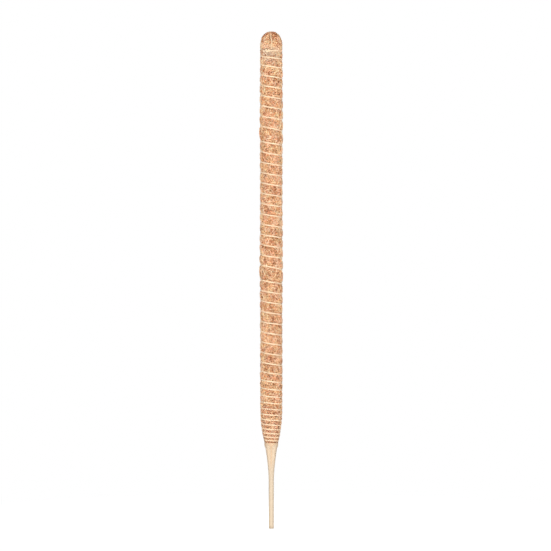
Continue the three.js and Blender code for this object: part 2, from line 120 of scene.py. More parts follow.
class PoleSizes(bpy.types.PropertyGroup):
    """Sizes of the pole's soft pieces, on the frame's own sizes."""

    pole_length: length("Pole length", "Cut end of the stake to the top of the crown", top_of("crown_pad"))
    stake_length: length(
        "Stake length", "Cut end of the stake to the mouth of its sleeve", top_of("stake_sleeve")
    )
    body_diameter: length("Body diameter", "Over the swells of the coir", width_of("coir_wrap_middle"))
    seat_gap: length("Seat gap", "Room between pieces that bear on each other", 0.3)

    cord_diameter: length("Cord diameter", "Over the three plies", 2.1)
    cord_lay: length("Cord lay", "Length in which the plies turn once", 8.5)
    crown_height: length("Crown height", "First turn of the cord to the top of the crown", 22)
    foot_clearance: length("Foot clearance", "Lowest turn of the cord over the mouth of the sleeve", 0.4)
    crown_pitch: length("Crown pitch", "Fall of the first turn", 8.5)
    crown_pitch_run: length("Crown pitch run", "Height in which the pitch opens below the crown", 26)
    body_pitch: length("Body pitch", "Fall of a turn on the body", 12.4)
    foot_pitch: length("Foot pitch", "Fall of the last turn", 3.6)
    foot_pitch_run: length("Foot pitch run", "Height in which the pitch closes above the foot", 110)
    join_pitch: length("Join pitch", "Added to the turn at which a new length of coir starts", 6)
    end_angle: bpy.props.FloatProperty(
        name="End angle", description="Where the winding ends", default=math.pi / 8, subtype="ANGLE"
    )

    swell: length("Swell", "Coir over the floor of the cord's channel", 2.5)
    swell_of_pitch: factor("Swell of pitch", "The most that it swells, as a share of the pitch", 0.2)
    swell_power: factor("Swell power", "The higher, the flatter the swell and the steeper its sides", 6.0)
    loose_swell: factor("Loose swell", "The most that loose coir swells, as a share of the pitch", 0.6)
    band_crown: length("Band crown", "How much higher the coir is half way between two turns", 0.65)
    fibre_bed: length("Fibre bed", "Depth of loose fibres over the felt", 0.65)
    channel_gap: length("Channel gap", "Cord to the floor of its channel", 0.4)
    wrap_backing: length("Wrap backing", "Coir under the channel", 1.7)
    foot_taper_length: length("Foot taper", "Height in which the body is drawn in to the foot", 46)
    foot_channel_diameter: length("Foot channel", "Floor of the channel at the lowest turn", 10.4)
    upper_wrap_turns: factor("Upper wrap turns", "From the start of the winding to the first join", 7.8)
    middle_wrap_turns: factor("Middle wrap turns", "From the first join to the second", 13.0)
    join_slit: length("Join slit", "Slit between the ends of two lengths of coir", 0.75)
    join_flap: length("Join flap", "How far the end of a length of coir stands up at a join", 0.9)
    join_notch: length("Join notch", "How far the next length dips beside it", 0.7)
    join_reach: length("Join reach", "Length of coir that stands up or dips", 3)
    join_bulge: length("Join bulge", "How much thicker the coir is about a join", 0.6)
    join_bulge_run: length("Join bulge run", "Height over and under a join in which it is thicker", 40)

    crown_diameter: length("Crown diameter", "Over the dome", 26.4)
    dome_height: length("Dome height", "Dome over its widest ring", 16)
    dome_power: factor("Dome power", "2 is an ellipse, and more is blunter", 2.25)
    rim_draw: length("Rim draw", "Rim of the pad drawn in under the dome", 1.2)
    loose_rim_draw: length("Loose rim draw", "Rim of the loose coir drawn in under the dome", 0.4)
    strand_groove: length("Strand groove", "Depth of the groove that the strand presses into the dome", 0.9)
    seam_rise: length("Seam rise", "Seam of pad and wrap over the first turn of the cord", 1)

    stake_diameter: length("Stake diameter", "Over the sleeve", 5.7)
    mouth_diameter: length("Mouth diameter", "Mouth of the sleeve without its swell", 14)
    flare_length: length("Flare length", "Height in which the sleeve opens", 42)
    flare_power: factor("Flare power", "The higher, the later the flare opens", 1.6)
    sleeve_wall: length("Sleeve wall", "Film round the stake", 0.3)
    sleeve_pucker: length("Sleeve pucker", "Depth of the folds at the mouth", 0.4)
    sleeve_lip: length("Sleeve lip", "How far the film reaches up over the lowest turn of the cord", 4.0)
    lip_swell: length("Lip swell", "How far the film stands out over the lowest turn", 1.2)

    pit_size: length("Pit size", "Size of the pits in the felt", 1.1)
    pit_depth: length("Pit depth", "From the pits to the tops between them", 2.2)
    lump_size: length("Lump size", "Size of the soft lumps in the felt", 12)
    lump_depth: length("Lump depth", "From the hollows to the lumps", 0.8)
    run_length: length("Run length", "Mean length of a fibre that runs straight on", 11)
    run_radius: length("Run radius", "Mean radius of a fibre that runs straight on", 16)
    curl_length: length("Curl length", "Mean length of a fibre that curls", 8.5)
    curl_radius: length("Curl radius", "Mean radius of a curl", 3.6)
    curl_share: factor("Curl share", "Share of the fibres that curl", 0.45)
    fibre_thickness: length("Fibre thickness", "Mean thickness of a coir fibre", 0.27)
    fibre_arch: length("Fibre arch", "How far a fibre arches off its bed", 0.35)
    stray_reach: length("Stray reach", "How far a loose fibre's end stands off the coir", 1.3)
    stray_share: factor("Stray share", "Share of the fibres with a loose end", 0.05)
    wrap_locks: count("Wrap locks", "Locks of fibre on each band of the wrap", 2150)
    crown_locks: count("Crown locks", "Locks of fibre on the crown", 640)
    seam_locks: count("Seam locks", "Locks of fibre across the seam under the crown", 235)
    lint_fibres: count("Lint fibres", "Fine hairs on the twine", 1500)
    lint_thickness: length("Lint thickness", "Thickness of a hair on the twine", 0.09)


class PoleColours(bpy.types.PropertyGroup):
    """Colours of the pole's finishes."""

    # The felt's pits are coloured deep: painted shade in the hollows.
    coir_pit_shade: colour("Coir, deep", "Painted shade in the pits of the felt", 112, 66, 38)
    # Fibres that lie over pits or deep in their bed are turned toward the dark colour: painted shade, besides
    # their own dark tones.
    coir_dark: colour("Coir, dark", "Fibres in painted shade over pits or deep in the bed, and fibres dark of their own", 150, 92, 54)
    coir_rose: colour("Coir, rose", "Warm patches of the coir", 252, 182, 136)
    coir_mid: colour("Coir", "Most of the coir", 255, 210, 158)
    coir_pale: colour("Coir, pale", "Bleached fibres", 255, 244, 212)
    # A grey colour for painted shade about the knot, under the crown, and at the foot.
    coir_painted_shade: colour("Coir, painted shade", "Painted shade on the coir by the knot and at the foot", 216, 192, 172)
    twine: colour("Twine", "Most of the twine", 255, 229, 197)
    twine_shade: colour("Twine, shade", "Darker fibres of the twine", 238, 202, 162)
    # The strand is the winding's twine, coloured darker: painted shade.
    strand: colour("Strand", "Strand over the crown", 236, 204, 168)
    strand_shade: colour("Strand, shade", "Darker fibres of the strand", 214, 176, 138)
    film: colour("Film", "Sleeve on the stake", 211, 191, 165)
    film_pale: colour("Film, pale", "Sleeve where it flares", 236, 208, 176)
    film_warm: colour("Film, warm", "Sleeve where coir shows through", 218, 184, 148)
    jacket: colour("Jacket", "Plastic on the core wire", 130, 112, 90)
    steel: colour("Steel", "Core wire", 172, 174, 178)
    floor: colour("Floor", "Floor of the studio", 240, 240, 240)


def sizes_of(context):
    return context.scene.moss_pole_sizes


def colours_of(context):
    return context.scene.moss_pole_colours


def share(distance, run):
    """Part of a run that a distance has covered, from 0 to 1."""
    return np.clip(distance / run, 0.0, 1.0)


def smooth(part):
    """A part from 0 to 1 with a soft start and end."""
    return part * part * (3 - 2 * part)


def bell(distance, spread):
    """1 at no distance, falling off to 0 both ways over a spread."""
    return np.exp(-((distance / spread) ** 2))


class Winding:
    """Where the cord's turns lie, and the coir between them. Turn 0 starts at the front under the crown."""

    def __init__(self, sizes):
        self.sizes = sizes
        self.cord_radius = sizes.cord_diameter / 2
        self.top = sizes.pole_length - sizes.crown_height
        self.bottom = sizes.stake_length + sizes.foot_clearance + self.cord_radius
        self.seam = self.top + self.cord_radius + sizes.seam_rise
        self.channel = sizes.body_diameter / 2 - sizes.swell
        self.foot_channel = sizes.foot_channel_diameter / 2
        self.first_join = sizes.upper_wrap_turns
        self.second_join = self.first_join + sizes.middle_wrap_turns
        self.joins = (self.first_join, self.second_join)
        heights = [self.top + sizes.crown_pitch * TRIM_TURNS]
        while heights[-1] > self.bottom - sizes.foot_pitch * (TRIM_TURNS + 1):
            turn = (len(heights) - 1) / WINDING_STEPS - TRIM_TURNS
            pitch = self.pitch_at(heights[-1]) + self.join_pitch_at(turn)
            heights.append(heights[-1] - pitch / WINDING_STEPS)
        self.heights = np.array(heights)
        self.turns = np.arange(len(heights)) / WINDING_STEPS - TRIM_TURNS
        self.start = 1 / WINDING_STEPS
        end_part = round((sizes.end_angle - FRONT) / FULL_TURN * WINDING_STEPS) / WINDING_STEPS
        self.end = end_part + math.floor(self.turn_at(self.bottom) - end_part)

    def pitch_at(self, z):
        sizes = self.sizes
        foot = share(z - self.bottom, sizes.foot_pitch_run)
        crown = share(self.top - z, sizes.crown_pitch_run)
        foot_pitch = sizes.foot_pitch + (sizes.body_pitch - sizes.foot_pitch) * foot
        crown_pitch = sizes.crown_pitch + (sizes.body_pitch - sizes.crown_pitch) * crown
        return min(foot_pitch, crown_pitch)

    def join_pitch_at(self, turn):
        parts = [share(turn - join, 1.0) for join in self.joins]
        return sum(self.sizes.join_pitch * (1 - math.cos(FULL_TURN * part)) for part in parts)

    def height(self, turn):
        return np.interp(turn, self.turns, self.heights)

    def turn_at(self, z):
        return np.interp(-np.asarray(z), -self.heights, self.turns)

    def angle(self, turn):
        return FRONT + FULL_TURN * np.asarray(turn)

    def channel_radius(self, z):
        left = 1 - share(z - self.bottom, self.sizes.foot_taper_length)
        return self.channel - (self.channel - self.foot_channel) * left**2

    def cord_line_radius(self, z):
        return self.channel_radius(z) + self.sizes.channel_gap + self.cord_radius

    def swell_at(self, pitch):
        return np.minimum(self.sizes.swell, self.sizes.swell_of_pitch * pitch)

    def strip_turn(self, angle, z):
        """Turn of the strip of coir that lies at an angle and a height."""
        part = np.mod((angle - FRONT) / FULL_TURN, 1.0)
        return part + np.floor(self.turn_at(z) - part)

    def across_strip(self, turn, z):
        """Part of the strip's width over a height, and the pitch there."""
        top = self.height(turn)
        pitch = top - self.height(turn + 1)
        return share(top - z, pitch), pitch

    def past_joins(self, turn, z):
        """Distances along the strip past its two joins, which slant across it."""
        across, _ = self.across_strip(turn, z)
        slanted = turn - JOIN_SLANT * (across - 0.5)
        return [FULL_TURN * self.channel * (slanted - join) for join in self.joins]

    def felt_radius(self, turn, z):
        """Outside of the felt on the strip, inside its bed of loose fibres."""
        sizes = self.sizes
        across, pitch = self.across_strip(turn, z)
        rise = 1 - np.abs(2 * across - 1) ** sizes.swell_power
        radius = self.channel_radius(z) + np.minimum(sizes.swell, sizes.loose_swell * pitch) * rise
        crowned = 1 - (2 * across - 1) ** 2 - MEAN_CROWN
        radius = radius + sizes.band_crown * share(pitch, sizes.body_pitch) * crowned * rise
        bulge = -MEAN_BULGE
        for join, past in zip(self.joins, self.past_joins(turn, z)):
            near = bell(past, sizes.join_reach) * rise
            radius = radius + near * np.where(past < -sizes.join_slit / 2, sizes.join_flap, -sizes.join_notch)
            bulge = bulge + bell(z - self.height(join - 0.5), sizes.join_bulge_run)
        return radius + sizes.join_bulge * bulge * rise - sizes.fibre_bed


# The film starts to swell this far under the mouth of the sleeve, and has its full swell after this run.
LIP_START = 4 * MM
LIP_RUN = 7 * MM
# The lip is cut away at the back, where the cord's end comes out to its knot. On the way from the back, 0, to
# the front, 1, it starts to rise here, is whole after this slope, and has a little left at the very back.
LIP_BACK = 0.3
LIP_SLOPE = 0.2
LEAST_LIP = 0.05


def sleeve_radius(sizes, z):
    """Outside of the sleeve at a height."""
    stake_radius = sizes.stake_diameter / 2
    opened = share(z - (sizes.stake_length - sizes.flare_length), sizes.flare_length) ** sizes.flare_power
    return stake_radius + (sizes.mouth_diameter / 2 - stake_radius) * opened


def lip_swell_at(sizes, z):
    """How far the film stands out for the lowest turn at a height."""
    return sizes.lip_swell * smooth(share(z - sizes.stake_length + LIP_START, LIP_RUN))


def lip_share(angle):
    """How much of the film's lip is left at an angle."""
    front = (1 - np.sin(angle)) / 2
    return LEAST_LIP + (1 - LEAST_LIP) * smooth(share(front - LIP_BACK, LIP_SLOPE))


def lip_height(sizes, angle):
    """Height of the film's edge at an angle."""
    return sizes.stake_length + sizes.sleeve_lip * lip_share(angle)


def dome_base(sizes):
    """Height of the dome's widest ring."""
    return sizes.pole_length - sizes.dome_height


def dome_curve(sizes, part):
    """The dome's outline: its height at a part of its width, or its width at a part of its height."""
    return (1 - part**sizes.dome_power) ** (1 / sizes.dome_power)


def dome_radius(sizes, z):
    """Outside of the crown pad at a height: the dome, and under it the rim that is drawn in."""
    base = dome_base(sizes)
    up = share(z - base, sizes.dome_height)
    dome = sizes.crown_diameter / 2 * dome_curve(sizes, up)
    down = share(base - z, base - Winding(sizes).seam)
    return dome - sizes.loose_rim_draw * (1 - np.sqrt(1 - down**2))


def dome_height(sizes, distance, skin):
    """Height of the dome, or of a skin over it, at a distance from the axis."""
    out = share(distance, sizes.crown_diameter / 2 + skin)
    return dome_base(sizes) + (sizes.dome_height + skin) * dome_curve(sizes, out)


# The strand lies on the dome at the front and sinks into it on this part of its way to the back.
STRAND_FRONT = math.radians(-88)
STRAND_BACK = math.radians(125)
STRAND_LIFT = -0.3 * MM
STRAND_SUNK_LIFT = -0.75 * MM
STRAND_SINKS = 0.4


def strand_ends(sizes):
    """Where the strand leaves the dome for the first turn, at the front and at the back."""
    reach = sizes.crown_diameter / 2
    front = round_axis(STRAND_FRONT, reach + STRAND_LIFT, dome_base(sizes))
    return front, round_axis(STRAND_BACK, reach + STRAND_SUNK_LIFT, dome_base(sizes))


def round_axis(angle, radius, z):
    """Points at angles about the pole's axis."""
    angle, radius, z = np.broadcast_arrays(angle, radius, z)
    return np.stack([radius * np.cos(angle), radius * np.sin(angle), z], axis=-1)


def angle_of(points):
    """Angles of points about the pole's axis."""
    return np.arctan2(points[..., 1], points[..., 0])


def unit(vectors):
    return vectors / np.linalg.norm(vectors, axis=-1, keepdims=True)


def between(angle, other):
    """The turn from one angle to another, the short way round."""
    return np.mod(angle - other + math.pi, FULL_TURN) - math.pi


def outward_of(points):
    """Directions straight away from the pole's axis."""
    flat = np.array(points)
    flat[..., 2] = 0
    return unit(flat)


def leave_edit_mode():
    """Object mode with nothing selected, because an operator acts on all that is selected."""
    if bpy.context.object and bpy.context.object.mode != "OBJECT":
        bpy.ops.object.mode_set(mode="OBJECT")
    bpy.ops.object.select_all(action="DESELECT")


def make_active(piece):
    leave_edit_mode()
    piece.select_set(True)
    bpy.context.view_layer.objects.active = piece


@contextmanager
def editing(piece):
    """Edit mode on a piece, with all of it selected."""
    make_active(piece)
    bpy.ops.object.mode_set(mode="EDIT")
    bpy.ops.mesh.select_all(action="SELECT")
    yield
    bpy.ops.object.mode_set(mode="OBJECT")


def apply_modifier(piece, kind, name, **values):
    """Adds a modifier to a piece, sets its values and applies it."""
    make_active(piece)
    modifier = piece.modifiers.new(name, kind)
    for key, value in values.items():
        setattr(modifier, key, value)
    bpy.ops.object.modifier_apply(modifier=name)


def thicken(piece, wall):
    """Gives a shell its wall, on its inner side."""
    apply_modifier(piece, "SOLIDIFY", "Wall", thickness=wall, offset=-1.0)


def mesh_piece(name, vertices, faces):
    """An object from arrays of points and of faces that all have the same number of corners."""
    mesh = bpy.data.meshes.new(name)
    corners = faces.shape[1]
    mesh.vertices.add(len(vertices))
    mesh.vertices.foreach_set("co", vertices.astype(np.float32).ravel())
    mesh.loops.add(faces.size)
    mesh.loops.foreach_set("vertex_index", faces.astype(np.int32).ravel())
    mesh.polygons.add(len(faces))
    mesh.polygons.foreach_set("loop_start", np.arange(0, faces.size, corners, dtype=np.int32))
    mesh.update(calc_edges=True)
    mesh.validate()
    piece = bpy.data.objects.new(name, mesh)
    bpy.context.scene.collection.objects.link(piece)
    return piece


def turned_shell(name, profile, segments):
    """A shell about the pole's axis: a circle, drawn out from ring to ring of the profile."""
    leave_edit_mode()
    radius, height = profile[0]
    bpy.ops.mesh.primitive_circle_add(vertices=segments, radius=radius, location=(0, 0, height))
    shell = bpy.context.object
    shell.name = name
    bpy.ops.object.transform_apply(location=True, rotation=False, scale=False)
    with editing(shell):
        for next_radius, next_height in profile[1:]:
            wider = next_radius / radius
            bpy.ops.mesh.extrude_region_move(TRANSFORM_OT_translate={"value": (0, 0, next_height - height)})
            bpy.ops.transform.resize(value=(wider, wider, 1), center_override=(0, 0, next_height))
            radius, height = next_radius, next_height
    return shell


def recalculate_outside(piece):
    with editing(piece):
        bpy.ops.mesh.normals_make_consistent(inside=False)


def finish_piece(piece, material, slot, *replaced):
    """Smooths a piece, gives it its material, and sets it on the frame."""
    make_active(piece)
    bpy.ops.object.shade_smooth()
    piece.data.materials.clear()
    piece.data.materials.append(material)
    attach(piece, BODY)
    if replaced:
        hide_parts(*replaced)
    leave_edit_mode()


# Places of a Mix node's colour sockets, which share their names with its other sockets
MIX_A = 6
MIX_B = 7
MIX_RESULT = 2

# Middle of the values that noise and clouds have
TEXTURE_MIDDLE = 0.5

# Fine lines that cross in the felt
TANGLE_LAYERS = 4
TANGLE_SIZE = 2.2 * MM
TANGLE_WIDTH = 0.014
TANGLE_DISTORTION = 0.6
TANGLE_SHARE = 0.4

# Grain in the tone of fibres, and broad patches of two hues
GRAIN = 1.2
LINT_GRAIN = 0.1
GRAIN_SIZE = 1.1 * MM
HUE_SIZE = 7 * MM
ROSE_HUE = (1.0, 0.875, 0.88, 1.0)
GOLD_HUE = (1.0, 0.93, 0.845, 1.0)

# How noise is stretched to streaks along the plies, to streaks down the film, and to marks of a saw
TWINE_STREAKS = (0.9, 26.0, 1.0)
FILM_STREAKS = (1.0, 1.0, 0.06)
SAW_MARKS = (1.0, 12.0, 1.0)
FILM_NOISE = 650.0
FILM_STREAK_SHARE = 0.25
CORE_NOISE = 900.0
JACKET_SHADE = 0.8


class Nodes:
    """The nodes of a material or of the world. A node's input is a value or another node's output."""

    def __init__(self, owner):
        owner.use_nodes = True
        self.tree = owner.node_tree

    def give(self, socket, value):
        if isinstance(value, bpy.types.NodeSocket):
            self.tree.links.new(value, socket)
        else:
            socket.default_value = value

    def set_values(self, node, values):
        """Sets a node's inputs by their names, and its other settings."""
        for key, value in values.items():
            if key in node.inputs:
                self.give(node.inputs[key], value)
            else:
                setattr(node, key, value)

    def add(self, kind, output, *inputs, **values):
        """Adds a node with its inputs in order and its values by name, and gives one of its outputs."""
        node = self.tree.nodes.new(kind)
        self.set_values(node, values)
        for i, value in enumerate(inputs):
            self.give(node.inputs[i], value)
        return node.outputs[output]

    def attribute(self, name):
        return self.add("ShaderNodeAttribute", "Fac", attribute_name=name)

    def place(self):
        return self.add("ShaderNodeTexCoord", "Object")

    def stretched(self, place, scale):
        return self.add("ShaderNodeMapping", "Vector", Vector=place, Scale=scale)

    def noise_at(self, place, scale, **values):
        return self.add("ShaderNodeTexNoise", "Fac", Vector=place, Scale=scale, **values)

    def calculate(self, operation, *inputs):
        return self.add("ShaderNodeMath", "Value", *inputs, operation=operation)

    def spread(self, value, low, high):
        """A value from 0 to 1, spread from low to high."""
        return self.add("ShaderNodeMapRange", "Result", **{"Value": value, "To Min": low, "To Max": high})

    def bump(self, height, strength, distance):
        return self.add("ShaderNodeBump", "Normal", Height=height, Strength=strength, Distance=distance)

    def blend(self, part, first, second):
        """A value between two others."""
        return self.add("ShaderNodeMix", "Result", data_type="FLOAT", Factor=part, A=first, B=second)

    def mix(self, part, first, second, blend_type="MIX"):
        """A colour from two others."""
        node = self.tree.nodes.new("ShaderNodeMix")
        self.set_values(node, {"data_type": "RGBA", "blend_type": blend_type, "Factor": part})
        self.give(node.inputs[MIX_A], first)
        self.give(node.inputs[MIX_B], second)
        return node.outputs[MIX_RESULT]

    def ramp(self, value, *stops):
        """A colour for a value, from colours at their places from 0 to 1."""
        node = self.tree.nodes.new("ShaderNodeValToRGB")
        elements = node.color_ramp.elements
        while len(elements) > 1:
            elements.remove(elements[-1])
        for i, (place, stop_colour) in enumerate(stops):
            stop = elements[0] if i == 0 else elements.new(place)
            stop.position = place
            stop.color = stop_colour
        self.give(node.inputs["Fac"], value)
        return node.outputs["Color"]

    def shade(self, values):
        """Sets the inputs of a material's shader."""
        self.set_values(self.tree.nodes["Principled BSDF"], values)


def new_material(name):
    """A material and its nodes."""
    material = bpy.data.materials.new(name)
    return material, Nodes(material)


def tangle(nodes, place):
    """Fine curved lines that cross each other at random, 1 on a line and 0 off it."""
    lines = 0.0
    for layer in range(TANGLE_LAYERS):
        shifted = nodes.add("ShaderNodeMapping", "Vector", Vector=place, Location=(layer, 0.0, 0.0))
        waves = nodes.noise_at(shifted, 1 / TANGLE_SIZE, Detail=0.0, Distortion=TANGLE_DISTORTION)
        line = nodes.calculate("COMPARE", waves, TEXTURE_MIDDLE, TANGLE_WIDTH)
        lines = nodes.calculate("MAXIMUM", lines, line)
    return lines


def coir_material(colours):
    """Felted coir under its fibres, with painted shade in its pits, and a tangle of fine fibres."""
    material, nodes = new_material("coir_felt")
    lines = tangle(nodes, nodes.place())
    toned = nodes.blend(TANGLE_SHARE, nodes.attribute(TONE), lines)
    # Low tones, in the pits, take the deep colour: painted shade.
    ramp = nodes.ramp(toned, (0.2, colours.coir_pit_shade), (0.8, colours.coir_rose))
    bump = nodes.bump(lines, strength=0.8, distance=0.3 * MM)
    nodes.shade({"Base Color": ramp, "Normal": bump, "Roughness": 0.95, "Specular IOR Level": 0.1})
    return material


def toned_material(name, grain, shade_colour, *stops):
    """Fibres, each with its own tone on a ramp of colours, a grain in that tone, and painted shade by place.
    """
    material, nodes = new_material(name)
    place = nodes.place()
    specks = nodes.noise_at(place, 1 / GRAIN_SIZE, Detail=1.0)
    grained = nodes.calculate("ADD", nodes.attribute(TONE), nodes.spread(specks, -grain, grain))
    patches = nodes.noise_at(place, 1 / HUE_SIZE, Detail=1.0)
    hues = nodes.ramp(patches, (0.4, ROSE_HUE), (0.6, GOLD_HUE))
    tinted = nodes.mix(1.0, nodes.ramp(grained, *stops), hues, "MULTIPLY")
    with_painted_shade = nodes.mix(nodes.attribute(PAINTED_SHADE), tinted, shade_colour)
    nodes.shade({"Base Color": with_painted_shade, "Roughness": 0.8, "Specular IOR Level": 0.12})
    return material


def fibre_material(colours):
    """Coir fibres from dark to bleached."""
    return toned_material(
        "coir_fibre",
        GRAIN,
        colours.coir_painted_shade,
        (0.0, colours.coir_dark),
        (0.38, colours.coir_rose),
        (0.62, colours.coir_mid),
        (0.95, colours.coir_pale),
    )


def lint_material(colours):
    """Fine hairs of the twine."""
    stops = ((0.0, colours.twine_shade), (1.0, colours.twine))
    return toned_material("twine_lint", LINT_GRAIN, colours.coir_painted_shade, *stops)


def plied_material(name, shade, light):
    """Twine with fine fibres that run along its plies."""
    material, nodes = new_material(name)
    strand = nodes.add("ShaderNodeUVMap", "UV", uv_map=STRAND_MAP)
    streaks = nodes.noise_at(nodes.stretched(strand, TWINE_STREAKS), 1.0, Detail=4.0, Roughness=0.6)
    ramp = nodes.ramp(streaks, (0.3, shade), (0.55, light))
    bump = nodes.bump(streaks, strength=0.5, distance=0.2 * MM)
    nodes.shade({"Base Color": ramp, "Normal": bump, "Roughness": 0.8, "Specular IOR Level": 0.25})
    return material


def twine_material(colours):
    """Pale twine of the winding."""
    return plied_material("twine", colours.twine_shade, colours.twine)


def strand_material(colours):
    """Twine of the strand, coloured darker than the winding's: painted shade."""
    return plied_material("strand_twine_painted_shade", colours.strand_shade, colours.strand)


def film_material(colours):
    """Smooth satin film with soft streaks along the stake, warmer where coir shows through it."""
    material, nodes = new_material("stake_film")
    streaks = nodes.noise_at(nodes.stretched(nodes.place(), FILM_STREAKS), FILM_NOISE, Detail=3.0)
    streaked = nodes.blend(FILM_STREAK_SHARE, nodes.attribute(TONE), streaks)
    ramp = nodes.ramp(streaked, (0.1, colours.film_warm), (0.5, colours.film), (0.9, colours.film_pale))
    bump = nodes.bump(streaks, strength=0.25, distance=0.2 * MM)
    nodes.shade({"Base Color": ramp, "Normal": bump, "Roughness": 0.42})
    return material


def jacket_material(colours):
    """Matt extruded plastic with a faint cloud in its colour."""
    material, nodes = new_material("core_jacket_plastic")
    cloud = nodes.noise_at(nodes.place(), CORE_NOISE, Detail=2.0)
    darker = (*(JACKET_SHADE * part for part in colours.jacket[:3]), 1.0)
    ramp = nodes.ramp(cloud, (0.35, darker), (0.65, colours.jacket))
    nodes.shade({"Base Color": ramp, "Roughness": 0.55})
    return material


def steel_material(colours):
    """Drawn steel with the saw marks of its cut end."""
    material, nodes = new_material("core_wire_steel")
    marks = nodes.noise_at(nodes.stretched(nodes.place(), SAW_MARKS), CORE_NOISE, Detail=2.0)
    rough = nodes.spread(marks, 0.28, 0.5)
    nodes.shade({"Base Color": colours.steel, "Roughness": rough, "Metallic": 1.0})
    return material


def material_of(name, make, context):
    """A material by name, made once."""
    return bpy.data.materials.get(name) or make(colours_of(context))


def clouds_of(name, lump):
    """A texture of soft clouds of a size, made once."""
    clouds = bpy.data.textures.get(name) or bpy.data.textures.new(name, "CLOUDS")
    clouds.noise_scale = lump
    clouds.noise_depth = 2
    return clouds


def cloud_levels(clouds, points):
    """The texture's values at points, from 0 to 1."""
    levels = [clouds.evaluate(point)[3] for point in points.reshape(-1, 3).tolist()]
    return np.reshape(levels, points.shape[:-1])


def press_in(piece, clouds, depth):
    """Presses the hollows of a texture into a piece and its lumps out."""
    values = {"texture": clouds, "strength": depth, "mid_level": TEXTURE_MIDDLE, "texture_coords": "LOCAL"}
    apply_modifier(piece, "DISPLACE", clouds.name, **values)


def points_of(piece):
    return np.array([vertex.co for vertex in piece.data.vertices])


def keep_values(piece, name, values):
    """Keeps a value from 0 to 1 at each of a piece's points, for its colour."""
    kept = piece.data.attributes.new(name, "FLOAT", "POINT")
    kept.data.foreach_set("value", np.clip(values, 0, 1).astype(np.float32).ravel())


def felt_surface(piece, sizes):
    """Soft lumps and pits on a piece of felt, with its tone, which is low in the pits for their painted
    shade.
    """
    pits = clouds_of("coir_pits", sizes.pit_size)
    keep_values(piece, TONE, cloud_levels(pits, points_of(piece)))
    press_in(piece, pits, sizes.pit_depth)
    press_in(piece, clouds_of("coir_lumps", sizes.lump_size), sizes.lump_depth)


# A fibre is a spindle of three sides: a tip, some rings and a tip.
FIBRE_SIDES = 3
FIBRE_STATIONS = np.linspace(-0.5, 0.5, 7)
FIBRE_MIDDLE = len(FIBRE_STATIONS) // 2
CELL_MARGIN = 0.15

# How single fibres differ from the mean of their kind
LENGTH_RANGE = (0.6, 1.4)
RADIUS_RANGE = (0.6, 1.6)
THICKNESS_RANGE = (0.6, 1.4)
STRAY_RANGE = (0.3, 1.0)
SWAY = 0.7

# Fibres lie in locks of a few that keep together and have nearly the same tone.
LOCK = 3
LOCK_SPREAD = 0.32 * MM
LOCK_FRAY = 0.2
LOCK_TONE = 0.27

# Where fibres lie: rather on the tops than in the pits, from below their bed nearly to its top, and in waves
CROWDING_CHANCE = 0.1
LEVEL_RANGE = (-0.2, 0.9)
LEVEL_CHANCE = 0.12
WAVE_RANGE = (0.5, 1.3)
RELIEF_SHARE = 0.35

# How a fibre's tone follows the pits and its depth in the bed, as painted shade, the broad patches, and how
# far by chance
MEAN_TONE = 0.58
PIT_TONE = 1.3
PATCH_TONE = 0.08
PATCH_SIZE = 14 * MM
DEPTH_TONE = 0.3
MEAN_LEVEL = 0.35
CHANCE_TONE = 0.07


def spindle(stations):
    """One fibre by its corners: its triangles, and the station and side of each corner."""
    rings = stations - 2
    last = 1 + FIBRE_SIDES * rings
    faces = []
    for side in range(FIBRE_SIDES):
        other = (side + 1) % FIBRE_SIDES
        faces.append((0, 1 + other, 1 + side))
        faces.append((last, last - FIBRE_SIDES + side, last - FIBRE_SIDES + other))
        for ring in range(rings - 1):
            here = 1 + FIBRE_SIDES * ring
            there = here + FIBRE_SIDES
            faces.append((here + side, here + other, there + other))
            faces.append((here + side, there + other, there + side))
    places = [(0, 1)]
    places += [(1 + ring, side) for ring in range(rings) for side in range(FIBRE_SIDES)]
    places.append((stations - 1, 1))
    return np.array(faces), np.array(places)


def add_map(piece, name, places):
    """A UV map from the places of all the faces' corners."""
    layer = piece.data.uv_layers.new(name=name)
    layer.uv.foreach_set("vector", places.astype(np.float32).ravel())


def fibre_piece(name, paths, outward, thickness, tone):
    """One mesh of many fibres, each along the points of its path, with a tone from 0 to 1 at each point."""
    total, stations = paths.shape[:2]
    along = unit(paths[:, 2:] - paths[:, :-2])
    sideways = unit(np.cross(along, outward[:, 1:-1]))
    upward = np.cross(sideways, along)
    angles = FULL_TURN * np.arange(FIBRE_SIDES)[:, None] / FIBRE_SIDES
    spokes = np.cos(angles) * upward[:, :, None] + np.sin(angles) * sideways[:, :, None]
    rings = paths[:, 1:-1, None] + spokes * thickness[:, None, None, None] / 2
    vertices = np.concatenate([paths[:, :1], rings.reshape(total, -1, 3), paths[:, -1:]], axis=1)
    triangles, places = spindle(stations)
    faces = triangles[None] + np.arange(total)[:, None, None] * len(places)
    piece = mesh_piece(name, vertices.reshape(-1, 3), faces.reshape(-1, 3))
    keep_values(piece, TONE, tone[:, places[:, 0]])
    # Each fibre has a cell of the baked map. Its sides lie over each other, as they share their colours.
    cells = math.ceil(math.sqrt(total))
    cell = np.stack([np.arange(total) % cells, np.arange(total) // cells], axis=-1)
    inside = CELL_MARGIN + (1 - 2 * CELL_MARGIN) * places / (stations - 1, FIBRE_SIDES - 1)
    add_map(piece, BAKED_MAP, (cell[:, None, None] + inside[triangles][None]) / cells)
    return piece


def each_fibre(values):
    """The values of locks, for each of their fibres."""
    return np.repeat(values, LOCK, axis=0)


